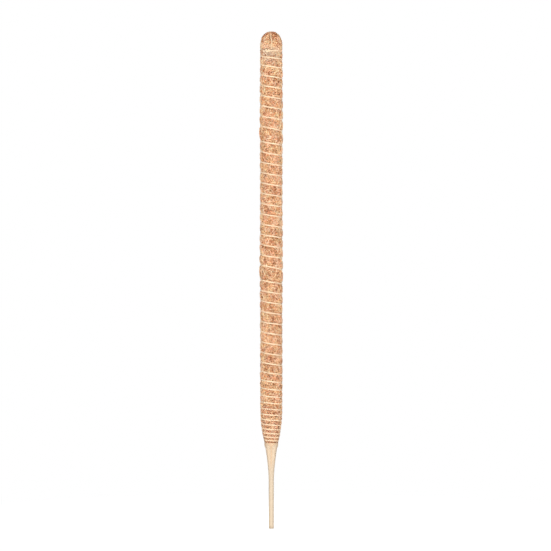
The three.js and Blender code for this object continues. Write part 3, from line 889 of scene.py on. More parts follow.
def lock_courses(sizes, random, locks):
    """Runs and curls of fibre laid flat, as distances across and up from their middles at each station."""
    curls = random.random(locks) < sizes.curl_share
    reach = np.where(curls, sizes.curl_length, sizes.run_length) * random.uniform(*LENGTH_RANGE, locks)
    radius = np.where(curls, sizes.curl_radius, sizes.run_radius) * random.uniform(*RADIUS_RANGE, locks)
    places = (FIBRE_STATIONS[1:] + FIBRE_STATIONS[:-1]) / 2
    bend = (random.choice((-1, 1), locks) * reach / radius)[:, None] * places
    sway = SWAY * random.random((locks, 1)) * np.sin(FULL_TURN * (places + random.random((locks, 1))))
    course = random.uniform(0, FULL_TURN, (locks, 1)) + bend + sway
    steps = reach[:, None] * np.diff(FIBRE_STATIONS)
    lines = np.zeros((2, locks, len(FIBRE_STATIONS)))
    lines[..., 1:] = np.cumsum(steps * np.stack([np.cos(course), np.sin(course)]), axis=2)
    lines = lines - lines[..., FIBRE_MIDDLE, None]
    across, upright = np.repeat(lines, LOCK, axis=1)
    fray = random.normal(0, LOCK_FRAY, (locks * LOCK, 1))
    aside = random.normal(0, LOCK_SPREAD, (2, locks * LOCK, 1))
    turned_across = across * np.cos(fray) - upright * np.sin(fray)
    turned_upright = across * np.sin(fray) + upright * np.cos(fray)
    return turned_across + aside[0], turned_upright + aside[1]


def felt_fibres(name, sizes, random, bases, onto, locks, tint, allowed=None):
    """Locks of fibre felted about the highest of their base points. onto sets points on the felt and gives
    its outward directions, tint lightens or darkens by place and gives the share of painted shade, and
    allowed tells which paths may stay."""
    pits = clouds_of("coir_pits", sizes.pit_size)
    lumps = clouds_of("coir_lumps", sizes.lump_size)
    total = locks * LOCK
    crowding = cloud_levels(pits, bases) + random.normal(0, CROWDING_CHANCE, len(bases))
    bases = each_fibre(bases[np.argsort(crowding)[-locks:]])
    _, outward = onto(bases)
    level_way = unit(np.cross(UP, outward))
    upright_way = np.cross(outward, level_way)
    across, upright = lock_courses(sizes, random, locks)
    paths = bases[:, None] + across[..., None] * level_way[:, None]
    paths, normals = onto(paths + upright[..., None] * upright_way[:, None])
    pit = cloud_levels(pits, paths) - TEXTURE_MIDDLE
    lump = cloud_levels(lumps, paths) - TEXTURE_MIDDLE
    relief = RELIEF_SHARE * sizes.pit_depth * pit + sizes.lump_depth * lump
    level = each_fibre(random.uniform(*LEVEL_RANGE, (locks, 1)))
    level = level + random.normal(0, LEVEL_CHANCE, (total, 1))
    waves = random.random((total, 1)) + FIBRE_STATIONS * random.uniform(*WAVE_RANGE, (total, 1))
    arch = sizes.fibre_arch * random.random((total, 1))
    lift = relief + sizes.fibre_bed * level + arch * np.sin(FULL_TURN * waves)
    lift[:, [0, -1]] -= sizes.fibre_bed / 2
    stray = random.random(total) < sizes.stray_share
    loose = random.uniform(*STRAY_RANGE, stray.sum()) * sizes.stray_reach
    lift[stray, -1] += loose
    lift[stray, -2] += loose / 2
    thickness = sizes.fibre_thickness * random.uniform(*THICKNESS_RANGE, total)
    patch = cloud_levels(clouds_of("coir_patches", PATCH_SIZE), bases)[:, None] - TEXTURE_MIDDLE
    chance = each_fibre(random.normal(0, LOCK_TONE, (locks, 1)))
    chance = chance + random.normal(0, CHANCE_TONE, (total, 1))
    # Darker over the pits and deeper in the bed: painted shade.
    tone = MEAN_TONE + PIT_TONE * pit + PATCH_TONE * patch + DEPTH_TONE * (level - MEAN_LEVEL)
    lighter, painted_shade = tint(bases)
    tone = tone + chance + lighter[:, None]
    kept = allowed(paths) if allowed else np.full(total, True)
    paths = paths + lift[..., None] * normals
    piece = fibre_piece(name, paths[kept], normals[kept], thickness[kept], tone[kept])
    # Each fibre's share of painted shade, for its colour.
    keep_values(piece, PAINTED_SHADE, np.repeat(painted_shade[kept], len(piece.data.vertices) // kept.sum()))
    return piece


# The plies lie off the cord's middle and have radii by these shares of its own. Two faces close a ply's end.
PLIES = 3
PLY_SIDES = 6
PLY_OFFSET = 0.42
PLY_RADIUS = 0.58
PLY_ENDS = ([0, 5, 4, 3], [0, 3, 2, 1])
PLY_UNEVENNESS = 0.1
UNEVEN_LENGTH = 3 * MM
# Stations of twine in a row of its baked map, for a map whose rows are about as fine across as along
ROW_STATIONS = 12.8


def twist(path, outward, cord_radius, lay):
    """Three plies twisted along a path: corners, faces, and the strand coordinates of each face's corners as
    station, ply and side."""
    steps = np.linalg.norm(np.diff(path, axis=0), axis=1)
    run = np.concatenate([[0], np.cumsum(steps)])
    along = unit(np.gradient(path, axis=0))
    sideways = unit(np.cross(along, outward))
    upward = np.cross(sideways, along)
    waves = np.array([noise.noise(Vector((0, 0, place / UNEVEN_LENGTH))) for place in run])
    ply_radius = PLY_RADIUS * cord_radius * (1 + PLY_UNEVENNESS * waves)[:, None]
    stations = len(path)
    step = np.arange(stations - 1)
    vertices = []
    faces = []
    strand = []

    def spoke(angle):
        return np.cos(angle)[:, None] * upward + np.sin(angle)[:, None] * sideways

    for ply in range(PLIES):
        turn = FULL_TURN * (run / lay + ply / PLIES)
        middle = path + PLY_OFFSET * cord_radius * spoke(turn)
        first = ply * stations * PLY_SIDES
        for side in range(PLY_SIDES):
            vertices.append(middle + ply_radius * spoke(turn + FULL_TURN * side / PLY_SIDES))
            here = first + side * stations + step
            there = first + (side + 1) % PLY_SIDES * stations + step
            faces.append(np.stack([here, there, there + 1, here + 1], axis=-1))
            corners = ((step, side), (step, side + 1), (step + 1, side + 1), (step + 1, side))
            places = [np.stack(np.broadcast_arrays(at, ply, edge), axis=-1) for at, edge in corners]
            strand.append(np.stack(places, axis=1))
        ring = first + np.arange(PLY_SIDES) * stations
        for half in PLY_ENDS:
            faces.append(ring[half][None])
            strand.append(np.array([[(0, ply, edge) for edge in half]]))
            faces.append(ring[half[::-1]][None] + stations - 1)
            strand.append(np.array([[(stations - 1, ply, edge) for edge in half[::-1]]]))
    return np.concatenate(vertices), np.concatenate(faces), np.concatenate(strand), run


def twine_piece(name, runs, sizes):
    """One mesh of twine along one or more paths. Each run is a path and its outward directions."""
    vertices = []
    faces = []
    strand_places = []
    baked_places = []
    stations = sum(len(path) for path, _ in runs)
    a_row = math.ceil(math.sqrt(stations * ROW_STATIONS))
    rows = sum(math.ceil(len(path) / a_row) for path, _ in runs)
    corners = 0
    row = 0
    for path, outward in runs:
        run_vertices, run_faces, strand, run = twist(path, outward, sizes.cord_diameter / 2, sizes.cord_lay)
        vertices.append(run_vertices)
        faces.append(run_faces + corners)
        corners += len(run_vertices)
        station, ply, side = strand[..., 0], strand[..., 1], strand[..., 2]
        around = ply + side / PLY_SIDES
        strand_places.append(np.stack([run[station] / sizes.cord_lay, around], axis=-1))
        face_row = station[:, :1] // a_row
        along = (station - face_row * a_row) / (a_row + 1)
        baked_places.append(np.stack([along, (row + face_row + around / PLIES) / rows], axis=-1))
        row += math.ceil(len(path) / a_row)
    piece = mesh_piece(name, np.concatenate(vertices), np.concatenate(faces))
    add_map(piece, STRAND_MAP, np.concatenate(strand_places))
    add_map(piece, BAKED_MAP, np.concatenate(baked_places))
    return piece


def smooth_line(points, steps):
    """A smooth line through points, with a cubic in a number of steps between each two."""
    points = np.array(points)
    padded = np.concatenate([[2 * points[0] - points[1]], points, [2 * points[-1] - points[-2]]])
    along = np.linspace(0, 1, steps, endpoint=False)[:, None]
    line = []
    for before, here, there, after in zip(padded, padded[1:], padded[2:], padded[3:]):
        slope = (there - before) / 2
        next_slope = (after - here) / 2
        bend = 3 * (there - here) - 2 * slope - next_slope
        bend_change = 2 * (here - there) + slope + next_slope
        line.append(here + slope * along + bend * along**2 + bend_change * along**3)
    line.append(points[-1:])
    return np.concatenate(line)


class MOSSPOLE_OT_core(bpy.types.Operator):
    """Finishes the wire and its jacket, which show at the stake's cut end"""

    bl_idname = "mosspole.core"
    bl_label = "Core"

    def execute(self, context):
        colours = colours_of(context)
        for node, make in (("core_wire", steel_material), ("core_jacket", jacket_material)):
            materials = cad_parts[node].data.materials
            materials.clear()
            materials.append(make(colours))
        return {"FINISHED"}


class MOSSPOLE_OT_stake_sleeve(bpy.types.Operator):
    """Models the film sleeve on the stake, with the soft folds of its flare"""

    bl_idname = "mosspole.stake_sleeve"
    bl_label = "Stake sleeve"

    SEGMENTS = 144
    STRAIGHT_RINGS = 16
    FLARE_RINGS = 60
    LIP_RINGS = 12
    SEED = 5
    FOLDS = 13
    FOLD_JITTER = 0.3
    FOLD_DEPTHS = (0.4, 1.0)
    FOLD_REACHES = (0.12, 0.5)
    FOLD_LEAN = 0.25
    FOLD_SPREAD = 0.09
    FOLD_FADE = 1 * MM
    PUFF_SHARE = 0.45
    EDGE_SHARE = 0.4
    EDGE_RUN = 3 * MM
    BUNDLES = 5
    BUNDLE_SPREAD = 0.3
    STAKE_TONE = 0.5
    FLARE_TONE = 0.45
    BUNDLE_TONE = 1.0
    LIP_TONE = 0.75
    LIP_TONE_RUN = 2 * MM
    TONE_REACH = 34 * MM
    TONE_RUN = 16 * MM

    def execute(self, context):
        sizes = sizes_of(context)
        flare_base = sizes.stake_length - sizes.flare_length
        straight = np.linspace(0, flare_base, self.STRAIGHT_RINGS, endpoint=False)
        flare = np.linspace(flare_base, sizes.stake_length, self.FLARE_RINGS)
        lip = np.linspace(sizes.stake_length, sizes.stake_length + sizes.sleeve_lip, self.LIP_RINGS)[1:]
        rings = np.concatenate([straight, flare, lip])
        profile = list(zip(sleeve_radius(sizes, rings) + lip_swell_at(sizes, rings), rings))
        sleeve = turned_shell("stake_film_sleeve", profile, self.SEGMENTS)
        self.show_coir_through(sleeve, sizes)
        self.gather(sleeve, sizes)
        thicken(sleeve, sizes.sleeve_wall)
        recalculate_outside(sleeve)
        finish_piece(sleeve, film_material(colours_of(context)), "film", "stake_sleeve")
        return {"FINISHED"}

    def show_coir_through(self, sleeve, sizes):
        """Tones the film: paler on the flare, but warm over the bundles of coir that it is drawn onto."""
        points = points_of(sleeve)
        over_mouth = points[:, 2] - sizes.stake_length
        flared = share(over_mouth + self.TONE_REACH, self.TONE_RUN)
        tone = self.STAKE_TONE + self.FLARE_TONE * flared
        for bundle in range(self.BUNDLES):
            aside = between(angle_of(points), FRONT + FULL_TURN * bundle / self.BUNDLES)
            tone = tone - self.BUNDLE_TONE * flared * bell(aside, self.BUNDLE_SPREAD)
        keep_values(sleeve, TONE, tone - self.LIP_TONE * share(over_mouth, self.LIP_TONE_RUN))

    def gather(self, sleeve, sizes):
        """Gathers the film in folds that fade out down the flare and up the lip, each beside a puff. Leaves
        its edge uneven, and cuts its lip away at the back."""
        random = np.random.default_rng(self.SEED)
        jitter = random.uniform(-self.FOLD_JITTER, self.FOLD_JITTER, self.FOLDS)
        places = FULL_TURN * (np.arange(self.FOLDS) + jitter) / self.FOLDS
        depths = sizes.sleeve_pucker * random.uniform(*self.FOLD_DEPTHS, self.FOLDS)
        reaches = sizes.flare_length * random.uniform(*self.FOLD_REACHES, self.FOLDS)
        lean = random.uniform(-self.FOLD_LEAN, self.FOLD_LEAN, self.FOLDS)
        for vertex in sleeve.data.vertices:
            below = max(sizes.stake_length - vertex.co.z, 0)
            above = max(vertex.co.z - sizes.stake_length, 0)
            angle = math.atan2(vertex.co.y, vertex.co.x)
            aside = between(angle, places + lean * below / reaches)
            fold = bell(aside, self.FOLD_SPREAD)
            puff = bell(np.abs(aside) - 2 * self.FOLD_SPREAD, self.FOLD_SPREAD)
            depth = float(np.sum(depths * np.exp(-below / reaches) * (self.PUFF_SHARE * puff - fold)))
            cut = above * (1 - float(lip_share(angle)))
            out = depth * math.exp(-above / self.FOLD_FADE)
            out += lip_swell_at(sizes, vertex.co.z - cut) - lip_swell_at(sizes, vertex.co.z)
            vertex.co += Vector((math.cos(angle), math.sin(angle), 0)) * out
            vertex.co.z += self.EDGE_SHARE * depth * math.exp(-below / self.EDGE_RUN) - cut


class MOSSPOLE_OT_coir_packing(bpy.types.Operator):
    """Models the loose coir between the core and the wrap, and its tail inside the sleeve"""

    bl_idname = "mosspole.coir_packing"
    bl_label = "Coir packing"

    SEGMENTS = 48
    RINGS = 90
    LUMP = 5 * MM
    LUMP_DEPTH = 0.4 * MM

    def execute(self, context):
        sizes = sizes_of(context)
        winding = Winding(sizes)
        low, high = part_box("coir_packing")
        heights = np.linspace(low.z, high.z, self.RINGS)
        inset = sizes.wrap_backing + sizes.seat_gap + self.LUMP_DEPTH
        profile = list(zip(winding.channel_radius(heights) - inset, heights))
        packing = turned_shell("coir_packing_column", profile, self.SEGMENTS)
        with editing(packing):
            bpy.ops.mesh.region_to_loop()
            bpy.ops.mesh.fill_holes(sides=0)
        recalculate_outside(packing)
        press_in(packing, clouds_of("packing_lumps", self.LUMP), self.LUMP_DEPTH)
        finish_piece(packing, material_of("coir_felt", coir_material, context), "packing", "coir_packing")
        return {"FINISHED"}


class MOSSPOLE_OT_coir_wraps(bpy.types.Operator):
    """Models the three lengths of felted coir, which swell between the turns of the cord"""

    bl_idname = "mosspole.coir_wraps"
    bl_label = "Coir wraps"

    ROWS = 12
    WELD = 0.05 * MM
    TAIL_LENGTH = 22 * MM
    TAIL_RINGS = 24
    TAIL_SEGMENTS = 96

    def execute(self, context):
        sizes = sizes_of(context)
        winding = Winding(sizes)
        felt = material_of("coir_felt", coir_material, context)
        lowest = winding.bottom - winding.cord_radius - 2 * sizes.seat_gap
        spans = {
            "upper": (-TRIM_TURNS, winding.first_join),
            "middle": (winding.first_join, winding.second_join),
            "lower": (winding.second_join, winding.end + 1),
        }
        for part, (first, last) in spans.items():
            wrap = self.strip(winding, f"coir_felt_{part}", first, last)
            self.trim(wrap, winding.seam, outer=True)
            self.trim(wrap, lowest, outer=False)
            felt_surface(wrap, sizes)
            thicken(wrap, sizes.wrap_backing)
            recalculate_outside(wrap)
            finish_piece(wrap, felt, "coir", f"coir_wrap_{part}")
        self.tail(sizes, lowest, felt)
        return {"FINISHED"}

    def tail(self, sizes, top, felt):
        """The coir's end, drawn down inside the sleeve."""
        heights = np.linspace(sizes.stake_length - self.TAIL_LENGTH, top, self.TAIL_RINGS)
        radii = sleeve_radius(sizes, heights) - sizes.sleeve_wall - sizes.fibre_bed
        profile = [*zip(radii, heights), (sizes.stake_diameter / 2, top)]
        tail = turned_shell("coir_tail", profile, self.TAIL_SEGMENTS)
        recalculate_outside(tail)
        felt_surface(tail, sizes)
        thicken(tail, sizes.sleeve_wall)
        finish_piece(tail, felt, "coir")

    def strip(self, winding, name, first, last):
        """The outside of a length of coir: a strip wound edge to edge, its lower end a slit short."""
        end = last - winding.sizes.join_slit / (FULL_TURN * winding.channel)
        columns = np.append(np.arange(first, end, 1 / COLUMNS_A_TURN), end)
        across = np.linspace(0, 1, self.ROWS + 1)[None]
        turns = columns[:, None] + JOIN_SLANT * (across - 0.5)
        top = winding.height(turns)
        z = top - across * (top - winding.height(turns + 1))
        radius = winding.felt_radius(turns, z)
        vertices = round_axis(winding.angle(turns), radius, z)
        columns, rows = vertices.shape[:2]
        index = np.arange(columns * rows).reshape(columns, rows)
        faces = np.stack([index[:-1, :-1], index[:-1, 1:], index[1:, 1:], index[1:, :-1]], axis=-1)
        strip = mesh_piece(name, vertices.reshape(-1, 3), faces.reshape(-1, 4))
        with editing(strip):
            bpy.ops.mesh.remove_doubles(threshold=self.WELD)
        return strip

    def trim(self, wrap, height, outer):
        """Cuts off what lies over a height, if outer, or else what lies under it."""
        plane = {"plane_co": (0, 0, height), "plane_no": (0, 0, 1)}
        with editing(wrap):
            bpy.ops.mesh.bisect(**plane, clear_outer=outer, clear_inner=not outer)


class MOSSPOLE_OT_crown_pad(bpy.types.Operator):
    """Models the domed pad of coir on top of the pole"""

    bl_idname = "mosspole.crown_pad"
    bl_label = "Crown pad"

    SEGMENTS = 120
    RINGS = 44
    TIP_SHARE = 0.02
    GROOVE_SLOPE = 1.4

    def execute(self, context):
        sizes = sizes_of(context)
        seam = Winding(sizes).seam
        skirt_radius = sizes.crown_diameter / 2 - 2 * sizes.rim_draw
        profile = [(self.TIP_SHARE * skirt_radius, seam), (skirt_radius, seam)]
        for part in np.linspace(0, 1, self.RINGS)[1:-1]:
            z = seam + (sizes.pole_length - seam) * math.sin(part * math.pi / 2)
            radius = float(dome_radius(sizes, z))
            profile.append((radius - sizes.fibre_bed, z - sizes.fibre_bed * part))
        pad = turned_shell("coir_crown_pad", profile, self.SEGMENTS)
        with editing(pad):
            bpy.ops.mesh.fill_holes(sides=0)
        recalculate_outside(pad)
        self.groove(pad, sizes)
        felt_surface(pad, sizes)
        finish_piece(pad, material_of("coir_felt", coir_material, context), "coir", "crown_pad")
        return {"FINISHED"}

    def groove(self, pad, sizes):
        """Presses the strand's groove into the dome."""
        front, back = strand_ends(sizes)
        aside = Vector((back[1] - front[1], front[0] - back[0], 0)).normalized()
        middle = Vector((0, 0, dome_base(sizes)))
        for vertex in pad.data.vertices:
            if vertex.co.z > middle.z:
                distance = (vertex.co - Vector(front)).dot(aside)
                near = math.exp(-((distance / sizes.cord_diameter * self.GROOVE_SLOPE) ** 2))
                vertex.co -= (vertex.co - middle).normalized() * sizes.strand_groove * near


class MOSSPOLE_OT_coir_fibres(bpy.types.Operator):
    """Felts loose fibres onto the lengths of coir and the crown"""

    bl_idname = "mosspole.coir_fibres"
    bl_label = "Coir fibres"

    SEED = 11
    BANDS = 7
    # Base points for each lock that is laid
    CHOICE = 1.4
    # Pale fibres about the knot, under the first turn
    PALE_ANGLE = math.radians(-97)
    PALE_SPREAD = 0.75
    PALE_DROP = 4 * MM
    PALE_HEIGHT = 9 * MM
    PALENESS = 0.7
    # Painted shade about the knot, under the crown
    KNOT_SHADE_ANGLE = math.radians(-98)
    KNOT_SHADE_SPREAD = 0.9
    KNOT_SHADE_DROP = 5.5 * MM
    KNOT_SHADE_HEIGHT = 9.5 * MM
    KNOT_SHADE_STRENGTH = 0.75
    # Tones of the crown, and painted shade at the foot, darker and greyer
    CROWN_SHADE = 0.29
    CROWN_SPECKLE = 0.13
    FOOT_SHADE = 0.25
    FOOT_SHADE_HEIGHT = 70 * MM
    FOOT_GREY_SHADE = 0.3
    # Where fibres start: about the seam, and from this share of the dome's height under its widest ring
    SEAM_BELOW = 0.8 * MM
    SEAM_ABOVE = 4 * MM
    CROWN_LOWEST = -0.25
    # Room about the slits, the share of fibres that may bridge them, and room over the film's lip
    SLIT_BEFORE = 0.4 * MM
    SLIT_AFTER = 0.3 * MM
    BRIDGING = 0.5
    LIP_CLEARANCE = 0.8 * MM

    def execute(self, context):
        sizes = sizes_of(context)
        winding = Winding(sizes)
        random = np.random.default_rng(self.SEED)
        fibre = material_of("coir_fibre", fibre_material, context)
        lowest = winding.bottom - winding.cord_radius
        dome_middle = UP * dome_base(sizes)
        dome_spread = np.array([sizes.crown_diameter / 2, sizes.crown_diameter / 2, sizes.dome_height])
        dome_spread = dome_spread - sizes.fibre_bed

        def onto_wrap(points):
            angle = angle_of(points)
            edge = np.maximum(lowest, lip_height(sizes, angle))
            z = np.clip(points[..., 2], edge, winding.seam)
            placed = round_axis(angle, winding.felt_radius(winding.strip_turn(angle, z), z), z)
            return placed, outward_of(placed)

        def onto_dome(points):
            spread = (points - dome_middle) / dome_spread
            flat = np.hypot(spread[..., 0], spread[..., 1])
            rise = np.maximum(spread[..., 2], 0)
            size = (flat**sizes.dome_power + rise**sizes.dome_power) ** (1 / sizes.dome_power)
            placed = dome_middle + spread / size[..., None] * dome_spread
            placed[..., 2] = np.maximum(placed[..., 2], winding.seam)
            return placed, unit((placed - dome_middle) / dome_spread**2)

        def onto_seam(points):
            z = np.minimum(points[..., 2], dome_middle[2])
            placed = round_axis(angle_of(points), dome_spread[0], z)
            return placed, outward_of(placed)

        def may_stay(paths):
            """Keeps fibres clear of the slits, but for some that bridge them, and of the film's lip."""
            angle = angle_of(paths)
            turn = winding.strip_turn(angle, paths[..., 2])
            clear = np.full(len(paths), True)
            for past in winding.past_joins(turn, paths[..., 2]):
                clear &= ~np.any((past > -self.SLIT_BEFORE) & (past < self.SLIT_AFTER), axis=1)
            lip = lip_height(sizes, angle[:, FIBRE_MIDDLE])
            covered = paths[:, FIBRE_MIDDLE, 2] < lip + self.LIP_CLEARANCE
            return (clear | (random.random(len(paths)) < self.BRIDGING)) & ~covered

        def by_knot(bases, angle, spread, drop, height):
            """1 in the middle of a patch of coir about the knot, falling off round it."""
            aside = between(angle_of(bases), angle)
            return bell(bases[:, 2] - winding.top + drop, height) * bell(aside, spread)

        # Lighter about the knot and darker on the crown; painted shade about the knot and, darker and greyer,
        # at the foot.
        def tint(bases):
            z = bases[:, 2]
            crown = share(z - winding.seam, sizes.dome_height)
            foot = 1 - share(z - lowest, self.FOOT_SHADE_HEIGHT)
            pale = by_knot(bases, self.PALE_ANGLE, self.PALE_SPREAD, self.PALE_DROP, self.PALE_HEIGHT)
            painted_shade = by_knot(bases, self.KNOT_SHADE_ANGLE, self.KNOT_SHADE_SPREAD, self.KNOT_SHADE_DROP, self.KNOT_SHADE_HEIGHT)
            speckle = each_fibre(random.normal(0, self.CROWN_SPECKLE, len(z) // LOCK)) * (crown > 0)
            lighter = self.PALENESS * pale + speckle - self.CROWN_SHADE * crown - self.FOOT_SHADE * foot
            return lighter, self.KNOT_SHADE_STRENGTH * painted_shade + self.FOOT_GREY_SHADE * foot

        def round_pole(low, high, locks):
            z = random.uniform(low, high, round(locks * self.CHOICE))
            return round_axis(random.uniform(0, FULL_TURN, len(z)), sizes.body_diameter / 2, z)

        def felt(name, bases, onto, locks, allowed=None):
            bases, _ = onto(bases)
            fibres = felt_fibres(name, sizes, random, bases, onto, locks, tint, allowed)
            finish_piece(fibres, fibre, "coir")

        edges = np.linspace(winding.seam, lowest, self.BANDS + 1)
        for band, (high, low) in enumerate(zip(edges, edges[1:]), start=1):
            bases = round_pole(low, high, sizes.wrap_locks)
            felt(f"coir_fibres_{band}", bases, onto_wrap, sizes.wrap_locks, may_stay)
        bases = round_pole(winding.seam - self.SEAM_BELOW, winding.seam + self.SEAM_ABOVE, sizes.seam_locks)
        felt("coir_fibres_seam", bases, onto_seam, sizes.seam_locks)
        rise = random.uniform(self.CROWN_LOWEST, 1, round(sizes.crown_locks * self.CHOICE))
        angle = random.uniform(0, FULL_TURN, len(rise))
        ball = round_axis(angle, np.sqrt(1 - np.maximum(rise, 0) ** 2), rise)
        felt("coir_fibres_crown", dome_middle + ball * dome_spread, onto_dome, sizes.crown_locks)
        return {"FINISHED"}


class MOSSPOLE_OT_binding_cord(bpy.types.Operator):
    """Winds the twine down the pole, from the knot under the crown to the foot"""

    bl_idname = "mosspole.binding_cord"
    bl_label = "Binding cord"

    STATIONS_A_TURN = 84
    WOBBLE = 0.3 * MM
    WOBBLES_A_TURN = 2.3
    SEED = 23
    # The film's lip covers this much of the winding, so no hairs stand there.
    COVERED_TURNS = 1
    # Hairs by the cord's diameter in length, by its radius in where they root and how far they stand off
    HAIR_LENGTHS = (0.8, 2.2)
    HAIR_ROOT = 0.9
    HAIR_STAND = 1.0
    HAIR_SPREAD = 1.2
    HAIR_DRIFT = 0.4

    def execute(self, context):
        sizes = sizes_of(context)
        winding = Winding(sizes)
        stations = round((winding.end - winding.start) * self.STATIONS_A_TURN)
        turns = np.linspace(winding.start, winding.end, stations)
        z = winding.height(turns)
        wobble = np.array([noise.noise(Vector((0.0, 0.0, self.WOBBLES_A_TURN * turn))) for turn in turns])
        line = round_axis(winding.angle(turns), winding.cord_line_radius(z), z + self.WOBBLE * wobble)
        cord = twine_piece("twine_winding", [(line, outward_of(line))], sizes)
        finish_piece(cord, material_of("twine", twine_material, context), "cord", "binding_cord")
        self.lint(sizes, winding, colours_of(context))
        return {"FINISHED"}

    def lint(self, sizes, winding, colours):
        """Fine hairs that stand off the twine."""
        random = np.random.default_rng(self.SEED)
        total = sizes.lint_fibres
        turns = random.uniform(winding.start, winding.end - self.COVERED_TURNS, total)
        z = winding.height(turns)
        radius = winding.cord_line_radius(z)
        reach = random.uniform(*self.HAIR_LENGTHS, total) * sizes.cord_diameter / radius / FULL_TURN
        turns = turns[:, None] + reach[:, None] * FIBRE_STATIONS
        round_cord = random.uniform(-self.HAIR_SPREAD, self.HAIR_SPREAD, total)[:, None]
        stand = random.uniform(0, self.HAIR_STAND, total)[:, None] * (FIBRE_STATIONS - FIBRE_STATIONS[0]) ** 2
        off = winding.cord_radius * (self.HAIR_ROOT + stand)
        course = round_cord + random.normal(0, self.HAIR_DRIFT, total)[:, None] * FIBRE_STATIONS
        paths = round_axis(
            winding.angle(turns),
            radius[:, None] + off * np.cos(course),
            winding.height(turns) + off * np.sin(course),
        )
        thickness = np.full(total, sizes.lint_thickness)
        tone = np.repeat(random.random(total)[:, None], len(FIBRE_STATIONS), axis=1)
        hairs = fibre_piece("twine_lint", paths, outward_of(paths), thickness, tone)
        finish_piece(hairs, lint_material(colours), "cord")


class MOSSPOLE_OT_knots(bpy.types.Operator):
    """Ties the knots at both ends of the winding"""

    bl_idname = "mosspole.knots"
    bl_label = "Knots"

    LOOP_RADIUS = 1.7 * MM
    LOOP_TILT = math.radians(28)
    LOOP_SPREAD = 1.0 * MM
    LOOP_PRESS = 0.75
    LOOP_STATIONS = 48
    LEAD_LENGTH = 14.5 * MM
    TAIL_REACH = 8 * MM
    STEPS = 16

    def execute(self, context):
        sizes = sizes_of(context)
        winding = Winding(sizes)
        twine = material_of("twine", twine_material, context)
        for name, node, turn, side in (
            ("twine_top_knot", "top_knot", winding.start, 1),
            ("twine_foot_knot", "foot_knot", winding.end, -1),
        ):
            knot = twine_piece(name, self.runs(sizes, winding, turn, side), sizes)
            finish_piece(knot, twine, "cord", node)
        return {"FINISHED"}

    def runs(self, sizes, winding, turn, side):
        """The cord from the end of the winding to its tail, and the two loops over it."""
        height = winding.height(turn)
        start = winding.angle(turn)
        in_channel = winding.cord_line_radius(height)
        on_turn = in_channel + winding.cord_radius + sizes.seat_gap
        seat = on_turn + (self.LOOP_RADIUS + winding.cord_radius) * self.LOOP_PRESS
        swell = winding.swell_at(winding.pitch_at(height))
        on_coir = winding.channel_radius(height) + swell + sizes.seat_gap + winding.cord_radius
        stations = (
            (self.LEAD_LENGTH + self.TAIL_REACH, on_coir),
            (self.LEAD_LENGTH + self.TAIL_REACH / 2, on_coir),
            (self.LEAD_LENGTH + self.LOOP_RADIUS, seat),
            (self.LEAD_LENGTH - self.LOOP_RADIUS, seat),
            (sizes.cord_diameter, in_channel),
            (0.0, in_channel),
        )
        points = [round_axis(start - side * along / seat, radius, height) for along, radius in stations]
        route = smooth_line(points, self.STEPS)
        runs = [(route, outward_of(route))]
        middle = start - side * self.LEAD_LENGTH / seat
        out = round_axis(middle, 1.0, 0.0)
        along = round_axis(middle + math.pi / 2, 1.0, 0.0)
        round_loop = np.linspace(0, FULL_TURN, self.LOOP_STATIONS)[:, None]
        for way in (-1, 1):
            upright = UP * math.cos(self.LOOP_TILT) + way * math.sin(self.LOOP_TILT) * along
            centre = seat * out + UP * height + way * self.LOOP_SPREAD * along
            spoke = self.LOOP_PRESS * np.cos(round_loop) * out + np.sin(round_loop) * upright
            runs.append((centre + self.LOOP_RADIUS * spoke, unit(spoke)))
        return runs


class MOSSPOLE_OT_crown_strand(bpy.types.Operator):
    """Lays the strand of twine over the crown"""

    bl_idname = "mosspole.crown_strand"
    bl_label = "Crown strand"

    POINTS = 10
    STEPS = 9

    def execute(self, context):
        sizes = sizes_of(context)
        winding = Winding(sizes)
        front, back = strand_ends(sizes)
        rim = math.hypot(front[0], front[1]) - sizes.loose_rim_draw
        over_turn = winding.cord_radius + sizes.seat_gap
        back_turn = winding.height((STRAND_BACK - FRONT) / FULL_TURN)
        points = [round_axis(STRAND_FRONT, rim, winding.top + over_turn)]
        for i in range(self.POINTS + 1):
            along = (1 - math.cos(math.pi * i / self.POINTS)) / 2
            point = front + (back - front) * along
            lift = STRAND_LIFT + (STRAND_SUNK_LIFT - STRAND_LIFT) * share(along, STRAND_SINKS)
            point[2] = dome_height(sizes, math.hypot(point[0], point[1]), lift)
            points.append(point)
        points.append(round_axis(STRAND_BACK, rim, back_turn + over_turn))
        route = smooth_line(points, self.STEPS)
        outward = unit(route - UP * (dome_base(sizes) - sizes.dome_height))
        strand = twine_piece("twine_crown_strand", [(route, outward)], sizes)
        finish_piece(strand, strand_material(colours_of(context)), "cord", "crown_strand")
        return {"FINISHED"}


